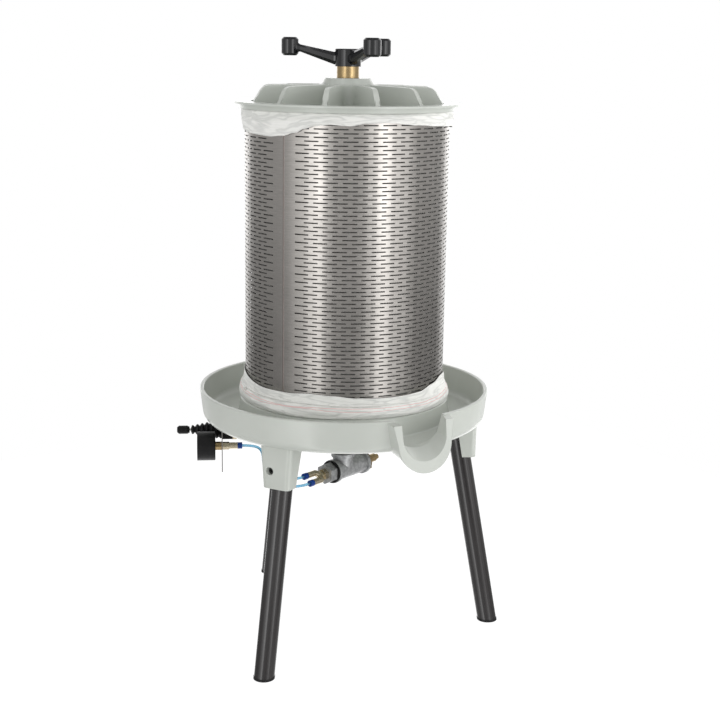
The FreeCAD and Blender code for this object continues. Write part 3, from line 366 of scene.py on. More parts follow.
@dataclass(frozen=True)
class Moulded(Finish):
    """Moulded plastic or rubber: the spark-eroded grain of its mould, 1.2 mm, and a faint bloom."""

    relief: Pattern = Pattern(Kind.NOISE, 1.0 / (1.2 * MM), 2.0)
    strength: float = 0.15
    depth: float = 0.2 * MM
    wander: Pattern = Pattern(Kind.NOISE, 60.0, 2.0)
    spread: float = 0.06
    sockets: Sockets = (("Specular IOR Level", 0.25),)


@dataclass(frozen=True)
class Lacquer(Finish):
    """Black lacquer over a casting: a deep gloss that follows the casting's waves, 7 mm across."""

    relief: Pattern = Pattern(Kind.NOISE, 140.0, 1.0)
    strength: float = 0.12
    depth: float = 0.4 * MM
    wander: Pattern = relief
    spread: float = 0.05
    sockets: Sockets = (("Coat Weight", 0.8), ("Coat Roughness", 0.06), ("Specular IOR Level", 0.1))


@dataclass(frozen=True)
class ClearTube(Finish):
    """Clear tube or glass: see-through at its walls, with faint drawing lines 11 mm apart."""

    edge: float = 0.0
    wander: Pattern = Pattern(Kind.NOISE, 90.0, 2.0)
    spread: float = 0.04


@dataclass(frozen=True)
class PressCloth(Finish):
    """Open plain-woven polyester press cloth: matt white, with single threads standing out.

    The real thread is 0.5 mm; it is drawn at 2.2 mm so that the weave shows.
    """

    thread: float = 2.2 * MM
    looseness: float = 0.4
    raised: float = 0.25 * MM
    # Painted shade in the gaps between the threads.
    gap_shade_colour: str = "#E6E6E2"
    wrinkle: float = 5.0 * MM
    slant: float = 0.10
    wrinkles_to_metre: Point = (13.0, 75.0, 1.0)
    # Painted shade in the creases: the cloth's colour turns part way to a darker grey along the
    # middle of each soft wrinkle.
    crease: float = 0.6
    crease_width: float = 0.10
    crease_shade_colour: str = "#B4B6B3"
    stripes: tuple[float, ...] = ()
    stripe_drift: float = 11.0 * MM
    stripe_half: float = 0.6 * MM
    stripe_colour: str = "#E8C0BE"
    sockets: Sockets = (("Sheen Weight", 0.25), ("Sheen Roughness", 0.5),
                        ("Subsurface Weight", 0.15), ("Subsurface Radius", (4 * MM,) * 3))

    def dress(self, tree: Tree) -> dict[str, Socket]:
        """Weave warp and weft over the cloth's own UV map, which is in metres.

        Args:
            tree: The material's node tree.

        Returns:
            What to link to the shader, by the shader's input.
        """
        chart = add_node(tree, "UVMap", {"uv_map": "cloth"}).outputs[0]
        threads = [add_node(tree, "TexWave", {"wave_type": "BANDS", "bands_direction": direction,
                                              "Scale": math.pi / (10.0 * self.thread),
                                              "Distortion": self.looseness}, {"Vector": chart})
                   for direction in ("X", "Y")]
        weave = add_node(tree, "Math", {"operation": "MAXIMUM"},
                         {place: thread.outputs["Fac"] for place, thread in enumerate(threads)})
        slanted = add_node(tree, "Mapping", {"Rotation": (0, 0, self.slant),
                                             "Scale": self.wrinkles_to_metre}, {"Vector": chart})
        soft = add_node(tree, "TexNoise", {"Scale": 1.0, "Detail": 2.5, "Distortion": 0.6},
                        {"Vector": slanted.outputs[0]})
        folds = add_node(tree, "Bump", {"Strength": 0.7, "Distance": self.wrinkle},
                         {"Height": soft.outputs["Fac"]})
        bump = add_node(tree, "Bump", {"Strength": 0.25, "Distance": self.raised},
                        {"Height": weave.outputs[0], "Normal": folds.outputs[0]})
        # Painted shade: the gaps between the threads are darker than the threads.
        shade = add_node(tree, "Mix", {"data_type": "RGBA", 6: linear(self.gap_shade_colour),
                                       7: linear(self.colour)}, {0: weave.outputs[0]})
        # Painted shade: darken the colour along the middle of each soft wrinkle, where the fold lies
        # in shade.
        away = add_node(tree, "Math", {"operation": "SUBTRACT", 1: 0.5}, {0: soft.outputs["Fac"]})
        size = add_node(tree, "Math", {"operation": "ABSOLUTE"}, {0: away.outputs[0]})
        crease = add_node(tree, "MapRange", {"interpolation_type": "SMOOTHSTEP",
                                             "From Max": self.crease_width, "To Min": self.crease},
                          {"Value": size.outputs[0]})
        crease_shaded = add_node(tree, "Mix", {"data_type": "RGBA", 6: linear(self.crease_shade_colour)},
                           {0: crease.outputs[0], 7: shade.outputs[2]})
        return {"Normal": bump.outputs[0],
                "Base Color": self.add_stripes(tree, chart, crease_shaded.outputs[2])}

    def add_stripes(self, tree: Tree, chart: Socket, colour: Socket) -> Socket:
        """Weave coloured lines along the cloth, which drift a little from straight.

        Args:
            tree: The material's node tree.
            chart: The cloth's UV map.
            colour: The cloth's colour so far.

        Returns:
            The colour with its stripes.
        """
        axes = add_node(tree, "SeparateXYZ", links={0: chart})
        for height in self.stripes:
            along = add_node(tree, "Math", {"operation": "ADD", 1: 400.0 * height},
                             {0: axes.outputs[0]})
            drift = add_node(tree, "TexNoise", {"noise_dimensions": "1D", "Scale": 5.0,
                                                "Detail": 1.0}, {"W": along.outputs[0]})
            line = add_node(tree, "Math", {"operation": "MULTIPLY_ADD", 1: self.stripe_drift},
                            {0: drift.outputs["Fac"], 2: axes.outputs[1]})
            near = add_node(tree, "Math", {"operation": "COMPARE",
                                           1: height + 0.5 * self.stripe_drift,
                                           2: self.stripe_half}, {0: line.outputs[0]})
            colour = add_node(tree, "Mix", {"data_type": "RGBA", 7: linear(self.stripe_colour)},
                              {0: near.outputs[0], 6: colour}).outputs[2]
        return colour


ENAMEL = StovedEnamel("Grey-green stoved enamel on cast aluminium", "#CBCFC8", 0.42, edge=1.2 * MM)
HAMMERED = HammeredPaint("Dark grey hammered paint on steel tube", "#0E0C0D", 0.45)
CAP_PLASTIC = Moulded("Black moulded polyethylene", "#1A1A1B", 0.55)
# The leg screws' dark grey is painted shade for the recesses in the leg sockets that they sit in.
RECESS_SHADED_SCREW = TurnedMetal("Steel screw painted dark for the shade in its recess", "#4B4C4B", 0.32, 1.0, edge=0.4 * MM)
LACQUER = Lacquer("Gloss black lacquer on cast aluminium", "#0F1013", 0.24, edge=0.9 * MM)
ZINC = TurnedMetal("Bright zinc plate on steel", "#B9BAB6", 0.33, 1.0, edge=0.4 * MM)
STAINLESS = RolledSheet("Rolled stainless sheet", "#B3AFAB", 0.23, 1.0)
WELD = RolledSheet("Ground weld with a brown heat tint", "#8A7A76", 0.3, 1.0)
MACHINED = TurnedMetal("Machined stainless", "#B0AFAC", 0.26, 1.0)
THREADED = ThreadedSteel("Threaded bright steel rod", "#B4B3B0", 0.25, 1.0, edge=0.3 * MM)
GALVANISED = GalvanisedIron("Hot-dip galvanised malleable iron", "#BBBCBC", 0.46, 0.7, edge=0.8 * MM)
BRASS = TurnedMetal("Turned brass", "#A8926C", 0.28, 1.0, edge=0.5 * MM)
NICKEL = TurnedMetal("Nickel plated brass", "#C2B79F", 0.24, 1.0, edge=0.5 * MM)
BLUE_POLYMER = Moulded("Blue moulded acetal", "#173F8E", 0.32, edge=0.5 * MM)
TUBE = ClearTube("Light blue polyurethane tube", "#8CCBEA", 0.14,
                 sockets=(("Transmission Weight", 0.7), ("IOR", 1.49)))
GAUGE_BLACK = Moulded("Black enamelled steel case", "#121213", 0.42, strength=0.1, edge=0.5 * MM)
PHENOLIC = Moulded("Black phenolic resin", "#0B0B0C", 0.5)
ANODISED = Moulded("Black anodised aluminium", "#232325", 0.36, 0.6, strength=0.1)
DIAL_WHITE = Moulded("White printed dial", "#E9E9E4", 0.5, strength=0.02)
PRINT_BLACK = Finish("Black dial print", "#101011", 0.6)
GLASS = ClearTube("Clear gauge glass", "#F4F8F8", 0.03,
                  sockets=(("Transmission Weight", 1.0), ("IOR", 1.49)))
BLACK_RUBBER = Moulded("Black moulded rubber", "#161617", 0.5, strength=0.3,
                       relief=Pattern(Kind.NOISE, 1.0 / (2.0 * MM), 2.0))
FOOD_RUBBER = Moulded("Grey food rubber", "#6A6B69", 0.55)
CLOTH = PressCloth("White woven press cloth", "#F6F6F2", 0.82)
STRIPED = PressCloth("White press cloth with woven pink edge lines", "#F6F6F2", 0.82,
                     stripes=(20.0 * MM, 25.5 * MM))
# The lining's dark grey is painted shade: the cloth itself is white, and the grey stands in for the
# shade inside the closed basket that shows through the slots.
LINING = PressCloth("Press cloth greyed by juice inside the basket", "#6C6C69", 0.85)
CORD = PressCloth("White cotton cord", "#E8E6DF", 0.8, thread=1.2 * MM, wrinkle=0.2 * MM,
                  crease=1.0)

NODE_FINISHES: dict[str, Finish] = {name: finish for finish, names in (
    (ENAMEL, "juice_tray lid"),
    (HAMMERED, "leg_tube_left leg_tube_right leg_tube_rear"),
    (CAP_PLASTIC, "foot_cap_left foot_cap_right foot_cap_rear"),
    (RECESS_SHADED_SCREW, "leg_bolts"),
    (ZINC, "leg_nuts tie_rod_washer membrane_bands membrane_top_nut plate_screws valve_nut"
           " lever_pin lever_rod thrust_washer grub_screw"),
    (THREADED, "tie_rod"),
    (GALVANISED, "tie_rod_locknut inlet_tee reducer_bush"),
    (BLACK_RUBBER, "membrane bush_seal lever_boot"),
    (MACHINED, "membrane_flange_lower membrane_flange_upper"),
    (NICKEL, "y_fitting gauge_fitting valve_fittings"),
    (BLUE_POLYMER, "y_collets gauge_collet valve_collet"),
    (BRASS, "safety_valve gauge_stem gauge_bourdon_tube brass_nut"),
    (STAINLESS, "control_plate basket_sheet basket_hoops"),
    (GAUGE_BLACK, "gauge_case gauge_bezel"),
    (DIAL_WHITE, "gauge_dial"),
    (GLASS, "gauge_lens"),
    (PRINT_BLACK, "gauge_needle"),
    (ANODISED, "valve_body"),
    (PHENOLIC, "lever_knob"),
    (TUBE, "air_tube_gauge air_tube_valve"),
    (LINING, "press_bag"),
    (CLOTH, "top_cuff"),
    (STRIPED, "bottom_cuff"),
    (CORD, "drawstring"),
    (FOOD_RUBBER, "basket_seal lid_seal"),
    (LACQUER, "star_handle"),
) for name in names.split()}


@dataclass(frozen=True)
class Bend:
    """A second body and two points along a piece."""

    body: Body
    start: Vector
    end: Vector


@dataclass
class Workshop:
    """Builds each finish once and turns bmeshes into pieces that ride on their bodies."""

    made: dict[str, bpy.types.Material] = field(default_factory=dict)

    def material(self, finish: Finish) -> bpy.types.Material:
        """Return the finish's material, built the first time that it is asked for."""
        if finish.name not in self.made:
            self.made[finish.name] = finish.build()
        return self.made[finish.name]

    def dress_nodes(self, nodes: dict[str, Item]) -> None:
        """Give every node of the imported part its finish.

        Args:
            nodes: The part's node objects by name.
        """
        for name, node in nodes.items():
            for slot in node.material_slots:
                slot.material = self.material(NODE_FINISHES[name])

    def piece(self, name: str, bm: Shape, finish: Finish, body: Body, slot: str,
              replaces: Sequence[str] = (), crease: float = 35.0,
              bend: Optional[Bend] = None) -> Item:
        """Finish a bmesh as a piece of the press.

        Args:
            name: Object name.
            bm: Its mesh, in place; it is freed.
            finish: What it is made of.
            body: The body that carries it.
            slot: The record's material slot; not used.
            replaces: Nodes that it stands for.
            crease: Edges sharper than this angle in degrees stay sharp.
            bend: Second body and a stretch; when given, the piece is baked in place and rides on no
                body.

        Returns:
            The linked object.
        """
        mesh = bpy.data.meshes.new(name)
        bm.to_mesh(mesh)
        bm.free()
        mesh.polygons.foreach_set("use_smooth", [True] * len(mesh.polygons))
        mesh.set_sharp_from_angle(angle=math.radians(crease))
        mesh.materials.append(self.material(finish))
        return self.place(bpy.data.objects.new(name, mesh), body, slot, replaces, bend)

    def place(self, item: Item, body: Body, slot: str, replaces: Sequence[str] = (),
              bend: Optional[Bend] = None) -> Item:
        """Link an object, let it ride on its body or bake it in place, and log it.

        Args:
            item: The object.
            body: The body that carries it.
            slot: The record's material slot; not used.
            replaces: Nodes that it stands for.
            bend: Second body and a stretch; when given, the piece is baked in place and rides on no
                body.

        Returns:
            The same object, linked.
        """
        bpy.context.scene.collection.objects.link(item)
        if bend:
            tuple(bend.start)
            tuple(bend.end)
            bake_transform(item)
        else:
            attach(item, body.value)
        if replaces:
            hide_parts(*replaces)
        LOG.info("piece %s rides on %s", item.name, body.value)
        return item


@dataclass
class Assembly:
    """A sub-assembly of the press, whose pieces the workshop finishes."""

    shop: Workshop


def turned(outline: Sequence[Pair], steps: int) -> Shape:
    """Spin an outline about the Z axis.

    Args:
        outline: (radius, height) points in metres; the ring closes on itself.
        steps: Number of segments round the turn.

    Returns:
        The spun mesh.
    """
    bm = bmesh.new()
    spots = [bm.verts.new((radius, 0.0, height)) for radius, height in outline]
    edges = [bm.edges.new((one, two)) for one, two in zip(spots, spots[1:] + spots[:1])]
    bmesh.ops.spin(bm, geom=spots + edges, cent=CENTRE, axis=(0, 0, 1), angle=math.tau,
                   steps=steps, use_merge=True)
    bmesh.ops.remove_doubles(bm, verts=bm.verts, dist=1e-6)
    bmesh.ops.recalc_face_normals(bm, faces=bm.faces)
    return bm


# Basket
@dataclass
class PerforatedBasket(Assembly):
    """Rolled sheet with staggered rows of slots and a plain band where its ends are welded."""

    radius: float = 210.0 * MM
    wall: float = 2.0 * MM
    seam_angle: float = -155.2
    seam_band: float = 15.0
    band_columns: int = 6
    slots_round: int = 33
    slot_columns: int = 3
    slot_width: float = 2.6 * MM
    row_pitch: float = 7.85 * MM
    margin: float = 16.0 * MM
    weld_depth: float = 1.0 * MM
    weld_width: float = 3.2 * MM
    weld_round: float = 0.35 * MM
    weld_inset: float = 0.2 * MM
    weld_margin: float = 5.0 * MM

    def sheet(self, low: float, high: float) -> Shape:
        """Cut the flat sheet and roll it.

        A slot is three columns long and the bridge to the next one is a column; every second
        row starts two columns later.

        Args:
            low: Height of the sheet's lower edge.
            high: Height of its upper edge.

        Returns:
            The rolled sheet with its wall.
        """
        cycle = self.slot_columns + 1
        columns = cycle * self.slots_round - 1
        total = columns + self.band_columns
        rows = int((high - low - 2 * self.margin) / self.row_pitch)
        lines = 2 * rows + 2
        bm = bmesh.new()
        bmesh.ops.create_grid(bm, x_segments=total, y_segments=lines, size=0.5)
        slots = []
        for face in bm.faces:
            middle = face.calc_center_median()
            column = int((middle.x + 0.5) * total)
            row, bridge = divmod(int((middle.y + 0.5) * lines) - 1, 2)
            if bridge or row >= rows or column >= columns:
                continue
            later = row % 2
            place = column - cycle // 2 * later
            whole = 0 <= place and not (later and place >= columns - cycle)
            if whole and place % cycle < self.slot_columns:
                slots.append(face)
        bmesh.ops.delete(bm, geom=slots, context="FACES")
        step = (360.0 - self.seam_band) / columns
        start = self.seam_angle + 0.5 * self.seam_band
        for vert in bm.verts:
            column = round((vert.co.x + 0.5) * total)
            line = round((vert.co.y + 0.5) * lines)
            row, upper = divmod(line - 1, 2)
            height = low + self.margin + row * self.row_pitch + upper * self.slot_width
            height = low if line == 0 else high if line == lines else height
            plain = self.seam_band * max(0, column - columns) / self.band_columns
            vert.co = polar(self.radius, start + step * min(column, columns) + plain, height)
        bmesh.ops.remove_doubles(bm, verts=bm.verts, dist=1e-5)
        bmesh.ops.recalc_face_normals(bm, faces=bm.faces)
        bmesh.ops.solidify(bm, geom=bm.faces, thickness=self.wall)
        return bm

    def weld(self, low: float, high: float) -> Shape:
        """Make the ground weld bead, a flat strip that stands 0.3 mm proud.

        Args:
            low: Height of its lower end.
            high: Height of its upper end.

        Returns:
            The bead.
        """
        bm = bmesh.new()
        bmesh.ops.create_cube(bm, size=1.0)
        bmesh.ops.scale(bm, vec=(self.weld_depth, self.weld_width, high - low), verts=bm.verts)
        uprights = [edge for edge in bm.edges if edge.calc_length() > 2 * self.weld_width]
        bmesh.ops.bevel(bm, geom=uprights, offset=self.weld_round, offset_type="OFFSET",
                        affect="EDGES", segments=3, profile=0.5, material=-1)
        bmesh.ops.translate(bm, vec=(self.radius - self.weld_inset, 0, 0.5 * (low + high)),
                            verts=bm.verts)
        bmesh.ops.rotate(bm, cent=CENTRE, verts=bm.verts, matrix=spin(self.seam_angle))
        return bm

    def build(self) -> None:
        """Make the sheet and its weld."""
        low, high = (corner.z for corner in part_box("basket_sheet"))
        self.shop.piece("perforated_sheet", self.sheet(low, high), STAINLESS, Body.BASKET,
                        "stainless", ["basket_sheet"], crease=30.0)
        self.shop.piece("seam_weld", self.weld(low + self.weld_margin, high - self.weld_margin),
                        WELD, Body.BASKET, "stainless")


# Press cloth
@dataclass
class Crease:
    """A soft fold across a hanging cloth."""

    angle: float
    height: float
    length: float
    slope: float
    width: float
    depth: float

    def rise(self, angle: float, height: float) -> float:
        """Return how far the cloth stands out at a place.

        Args:
            angle: Place round the basket in degrees.
            height: Height in metres.

        Returns:
            Change of radius in metres.
        """
        along = (angle - self.angle + 180.0) % 360.0 - 180.0
        if abs(along) > self.length:
            return 0.0
        fade = math.cos(0.5 * math.pi * along / self.length) ** 2
        off = (height - self.height - self.slope * along) / self.width
        return self.depth * fade * math.exp(-off * off)


@dataclass
class Ripple:
    """Uneven waves over a hanging cloth: their depth, and their number round and up it."""

    depth: float
    across: float
    upward: float

    def rise(self, angle: float, height: float) -> float:
        """Return how far the cloth stands out at an angle in degrees and a height."""
        return self.depth * noise.noise(polar(self.across, angle, self.upward * height))


@dataclass
class Drawstring(Assembly):
    """The cord that is tied round the lower cuff, of three twisted strands, and its knot."""

    radius: float = 216.2 * MM
    height: float = 551.0 * MM
    diameter: float = 2.6 * MM
    sides: int = 10
    steps: int = 360
    strands: int = 3
    twists: int = 150
    strand_swell: float = 0.14
    sag: float = 1.2 * MM
    wobble: float = 0.6 * MM
    knot_angle: float = 171.0
    knot_stand: float = 3.2 * MM
    loop: Point = (2.6 * MM, 4.6 * MM, 2.4 * MM)
    loop_tilts: Pair = (-35.0, 40.0)
    tails: tuple[Pair, ...] = ((-3.4, 17.0 * MM), (2.8, 13.0 * MM))
    tail_stand: float = 4.4 * MM
    tail_round: float = 0.5 * MM

    def line(self) -> Shape:
        """Lay the cord round the lower cuff and twist its strands.

        Returns:
            The closed cord.
        """
        half = 0.5 * self.diameter
        turns = [math.tau * side / self.sides for side in range(self.sides)]
        bm = turned([(self.radius + half * math.cos(turn), self.height + half * math.sin(turn))
                     for turn in turns], self.steps)
        for vert in bm.verts:
            angle = math.atan2(vert.co.y, vert.co.x)
            out, up = vert.co.xy.length - self.radius, vert.co.z - self.height
            phase = self.strands * math.atan2(up, out) + self.twists * angle
            swell = 1.0 + self.strand_swell * math.cos(phase)
            sag = self.sag * math.sin(2 * angle + 1.0) + self.wobble * math.sin(7 * angle)
            vert.co = polar(self.radius + out * swell, math.degrees(angle),
                            self.height + up * swell + sag)
        return bm

    def knot(self) -> Shape:
        """Tie the cord.

        Returns:
            Two crossed loops and two short ends that hang down.
        """
        bm = bmesh.new()
        centre = polar(self.radius + self.knot_stand, self.knot_angle, self.height)
        for tilt in self.loop_tilts:
            ball = bmesh.ops.create_uvsphere(bm, u_segments=20, v_segments=12, radius=1.0)["verts"]
            bmesh.ops.scale(bm, vec=self.loop, verts=ball)
            bmesh.ops.rotate(bm, cent=CENTRE, verts=ball, matrix=spin(tilt, "X"))
            bmesh.ops.rotate(bm, cent=CENTRE, verts=ball, matrix=spin(self.knot_angle))
            bmesh.ops.translate(bm, vec=centre, verts=ball)
        for lean, drop in self.tails:
            fresh = bmesh.ops.create_cone(bm, cap_ends=True, segments=self.sides, depth=drop,
                                          radius1=0.5 * self.diameter,
                                          radius2=0.5 * self.diameter)["verts"]
            rim = [edge for edge in bm.edges if edge.verts[0] in fresh and self.sides
                   in [len(face.verts) for face in edge.link_faces]]
            bmesh.ops.bevel(bm, geom=rim, offset=self.tail_round, offset_type="OFFSET",
                            affect="EDGES", segments=2, profile=0.5, material=-1)
            tail = [vert for vert in bm.verts if vert.co.length < 0.5 * self.radius]
            bmesh.ops.rotate(bm, cent=CENTRE, verts=tail, matrix=spin(6 * lean, "X"))
            spot = polar(self.radius + self.tail_stand, self.knot_angle + 0.4 * lean,
                         self.height - 0.5 * drop)
            bmesh.ops.translate(bm, vec=spot, verts=tail)
        return bm

    def build(self) -> list[Item]:
        """Make the cord that is tied round the lower cuff.

        Returns:
            The cord and its knot.
        """
        return [self.shop.piece("drawcord", self.line(), CORD, Body.BASKET, "cord_white",
                                ["drawstring"], 80.0),
                self.shop.piece("drawcord_knot", self.knot(), CORD, Body.BASKET, "cord_white",
                                (), 50.0)]


@dataclass
class PressCloths(Assembly):
    """The press bag: its lining inside the basket and the cuffs turned out over both ends."""

    basket_radius: float = 210.0 * MM
    thickness: float = 0.9 * MM
    steps: int = 288
    lining_radius: float = 199.0 * MM
    lining_gap: float = 4.0 * MM
    lining_hang: float = 10.0 * MM
    upper_depth: float = 34.0 * MM
    upper_stand: float = 5.0 * MM
    upper_bulge: float = 2.2 * MM
    upper_roll: float = 0.8 * MM
    lower_depth: float = 54.0 * MM
    lower_stand: float = 6.0 * MM
    gathers: int = 61
    gather_depth: float = 0.7 * MM
    # Hems in millimetres of height by angle, and the lower cuff's stand by the share up it
    upper_hem: tuple[Pair, ...] = (
        (-180, 1077), (-164, 1075), (-155, 1078), (-147, 1085), (-142, 1093), (-136, 1099),
        (-128, 1102), (-118, 1100), (-109, 1105), (-98, 1106), (-80, 1101), (-66, 1098),
        (-48, 1095), (-20, 1088), (10, 1096), (45, 1103), (80, 1092), (120, 1099), (155, 1084))
    lower_hem: tuple[Pair, ...] = (
        (-168, 567), (-152, 568), (-138, 572), (-125, 570), (-113, 566), (-100, 564), (-86, 564),
        (-73, 565), (-61, 573), (-47, 582), (-20, 570), (20, 578), (60, 567), (110, 575),
        (150, 582))
    lower_outline: tuple[Pair, ...] = (
        (0.0, 9.8), (0.08, 12.2), (0.22, 13.0), (0.40, 10.6), (0.56, 5.4), (0.68, 3.6),
        (0.85, 3.1), (1.0, 2.2))

    def creases(self, seed: int, count: int, low: float, high: float, depth: float) -> list[Crease]:
        """Scatter folds between two heights.

        Args:
            seed: Seed of the scatter.
            count: Number of folds.
            low: Lowest fold.
            high: Highest fold.
            depth: Deepest fold.

        Returns:
            The folds.
        """
        dice = random.Random(seed)
        return [Crease(dice.uniform(-180, 180), dice.uniform(low, high), dice.uniform(14, 42),
                       dice.uniform(-0.45, 0.45) * MM, dice.uniform(1.6, 4.0) * MM,
                       dice.uniform(0.3, 1.0) * depth * dice.choice((-0.5, 1.0, 1.0)))
                for _ in range(count)]

    def cloth(self, name: str, node: str, finish: Finish, rows: int, flat: Pair,
              place: Callable[[float, float], Vector]) -> Item:
        """Bend a flat strip of cloth round the basket, under a UV map in metres.

        Args:
            name: Object name.
            node: The node that it replaces.
            finish: What it is made of.
            rows: Rows of faces across the strip.
            flat: The flat strip's length and width.
            place: Turns an angle in degrees and a share across the strip into a point.

        Returns:
            The linked piece, thickened on both sides of its middle.
        """
        bm = bmesh.new()
        bmesh.ops.create_grid(bm, x_segments=self.steps, y_segments=rows, size=0.5)
        chart = bm.loops.layers.uv.new("cloth")
        for face in bm.faces:
            for loop in face.loops:
                spot = loop.vert.co
                loop[chart].uv = ((spot.x + 0.5) * flat[0], (spot.y + 0.5) * flat[1])
        for vert in bm.verts:
            vert.co = place(360.0 * vert.co.x, vert.co.y + 0.5)
        bmesh.ops.remove_doubles(bm, verts=bm.verts, dist=1e-5)
        bmesh.ops.recalc_face_normals(bm, faces=bm.faces)
        item = self.shop.piece(name, bm, finish, Body.BASKET, "cloth_white", [node], 80.0)
        wall = item.modifiers.new("cloth", "SOLIDIFY")
        wall.thickness = self.thickness
        wall.offset = 0.0
        return item

    def build_lining(self) -> None:
        """Hang the bag inside the basket, a few millimetres off the sheet, in long soft folds."""
        low, high = (corner.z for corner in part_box("press_bag"))
        ripples = (Ripple(3.5 * MM, 3.2, 2.2), Ripple(0.5 * 3.5 * MM, 8.0, 5.0))

        def place(angle: float, share: float) -> Vector:
            """Place a point of the lining, by its angle in degrees and its share upwards."""
            z = low + share * (high - low)
            end = min(1.0, 8 * min(share, 1 - share))
            hang = self.lining_hang - sum(ripple.rise(angle, z) for ripple in ripples)
            return polar(self.basket_radius - self.lining_gap - hang * end, angle, z)

        flat = (math.tau * self.lining_radius, high - low)
        lining = self.cloth("bag_lining", "press_bag", LINING, 60, flat, place)

    def build_top_cuff(self) -> None:
        """Turn the bag's top out over the upper hoop, with an uneven hem and slanting creases."""
        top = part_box("top_cuff")[1].z
        folds = [*self.creases(11, 46, 1.086, 1.121, 3.2 * MM), Ripple(0.35 * MM, 14.0, 160.0)]

        def place(angle: float, share: float) -> Vector:
            """Place a point of the cuff, by its angle in degrees and its share downwards."""
            z = top + (around(self.upper_hem, angle) * MM - top) * share
            bulge = math.sin(math.pi * min(1.0, share * 1.15)) * self.upper_bulge
            rolled = self.upper_roll * math.exp(-((share - 0.97) / 0.05) ** 2)
            base = self.basket_radius + (4.9 - 2.6 * max(0.0, share - 0.35)) * MM
            fold = sum(item.rise(angle, z) for item in folds) * min(1.0, 5.0 * share)
            least = self.basket_radius + 1.3 * MM
            return polar(max(base + bulge + rolled + fold, least), angle, z)

        flat = (math.tau * (self.basket_radius + self.upper_stand), self.upper_depth)
        cuff = self.cloth("cuff_above", "top_cuff", CLOTH, 16, flat, place)

    def build_bottom_cuff(self) -> None:
        """Turn the bag's foot out and up round the basket, gathered by its cord."""
        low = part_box("bottom_cuff")[0].z
        folds = [*self.creases(5, 30, 0.529, 0.548, 2.0 * MM), Ripple(1.6 * MM, 2.6, 20.0)]

        def place(angle: float, share: float) -> Vector:
            """Place a point of the cuff, by its angle in degrees and its share upwards."""
            z = low + (around(self.lower_hem, angle) * MM - low) * share
            stand = eased(self.lower_outline, share) * MM
            tight = math.exp(-((share - 0.5) / 0.2) ** 2)
            gather = self.gather_depth * math.sin(math.radians(self.gathers * angle)) * tight
            fold = sum(item.rise(angle, z) for item in folds) * (1 - share)
            return polar(self.basket_radius + stand + gather + fold, angle, z)

        flat = (math.tau * (self.basket_radius + self.lower_stand), self.lower_depth)
        cuff = self.cloth("cuff_below", "bottom_cuff", STRIPED, 22, flat, place)
        Drawstring(self.shop).build()

    def build(self) -> None:
        """Make all the cloth."""
        self.build_lining()
        self.build_top_cuff()
        self.build_bottom_cuff()


# Cords and tubes
@dataclass
class AirTubes(Assembly):
    """The two air tubes from the Y fitting to the gauge and the valve, by points in millimetres."""

    diameter: float = 6.0 * MM
    gauge_route: tuple[Point, ...] = (
        (-100.4, -45.7, 348.4), (-132.0, -57.2, 348.4), (-164.0, -55.0, 354.0),
        (-183.0, -28.0, 366.0), (-187.0, 10.0, 383.0), (-167.0, 54.6, 402.0),
        (-175.3, 78.4, 408.5), (-206.0, 92.2, 408.5))
    valve_route: tuple[Point, ...] = (
        (-106.3, -29.5, 359.6), (-134.5, -39.8, 359.6), (-159.0, -38.0, 365.0),
        (-169.0, -14.0, 376.0), (-162.0, 20.0, 389.0), (-141.0, 57.0, 401.0),
        (-134.0, 96.0, 410.0), (-151.0, 117.9, 417.0), (-181.8, 131.7, 417.0))

    def strand(self, name: str, points: Sequence[Vector]) -> Item:
        """Run a tube along a smooth line.

        Args:
            name: Object name.
            points: Control points in metres.

        Returns:
            The curve object, not yet linked.
        """
        curve = bpy.data.curves.new(name, "CURVE")
        curve.dimensions = "3D"
        curve.bevel_depth = 0.5 * self.diameter
        curve.bevel_resolution = 5
        curve.resolution_u = 10
        curve.use_fill_caps = True
        spline = curve.splines.new("NURBS")
        spline.points.add(len(points) - 1)
        for spot, point in zip(spline.points, points):
            spot.co = (*point, 1.0)
        spline.order_u = 3
        spline.use_endpoint_u = True
        curve.materials.append(self.shop.material(TUBE))
        return bpy.data.objects.new(name, curve)

    def build(self) -> None:
        """Run both tubes."""
        for name, route, node in (("tube_to_gauge", self.gauge_route, "air_tube_gauge"),
                                  ("tube_to_valve", self.valve_route, "air_tube_valve")):
            points = [Vector(point) * MM for point in route]
            tube = self.shop.place(self.strand(name, points), Body.STAND, "air_tube", [node])


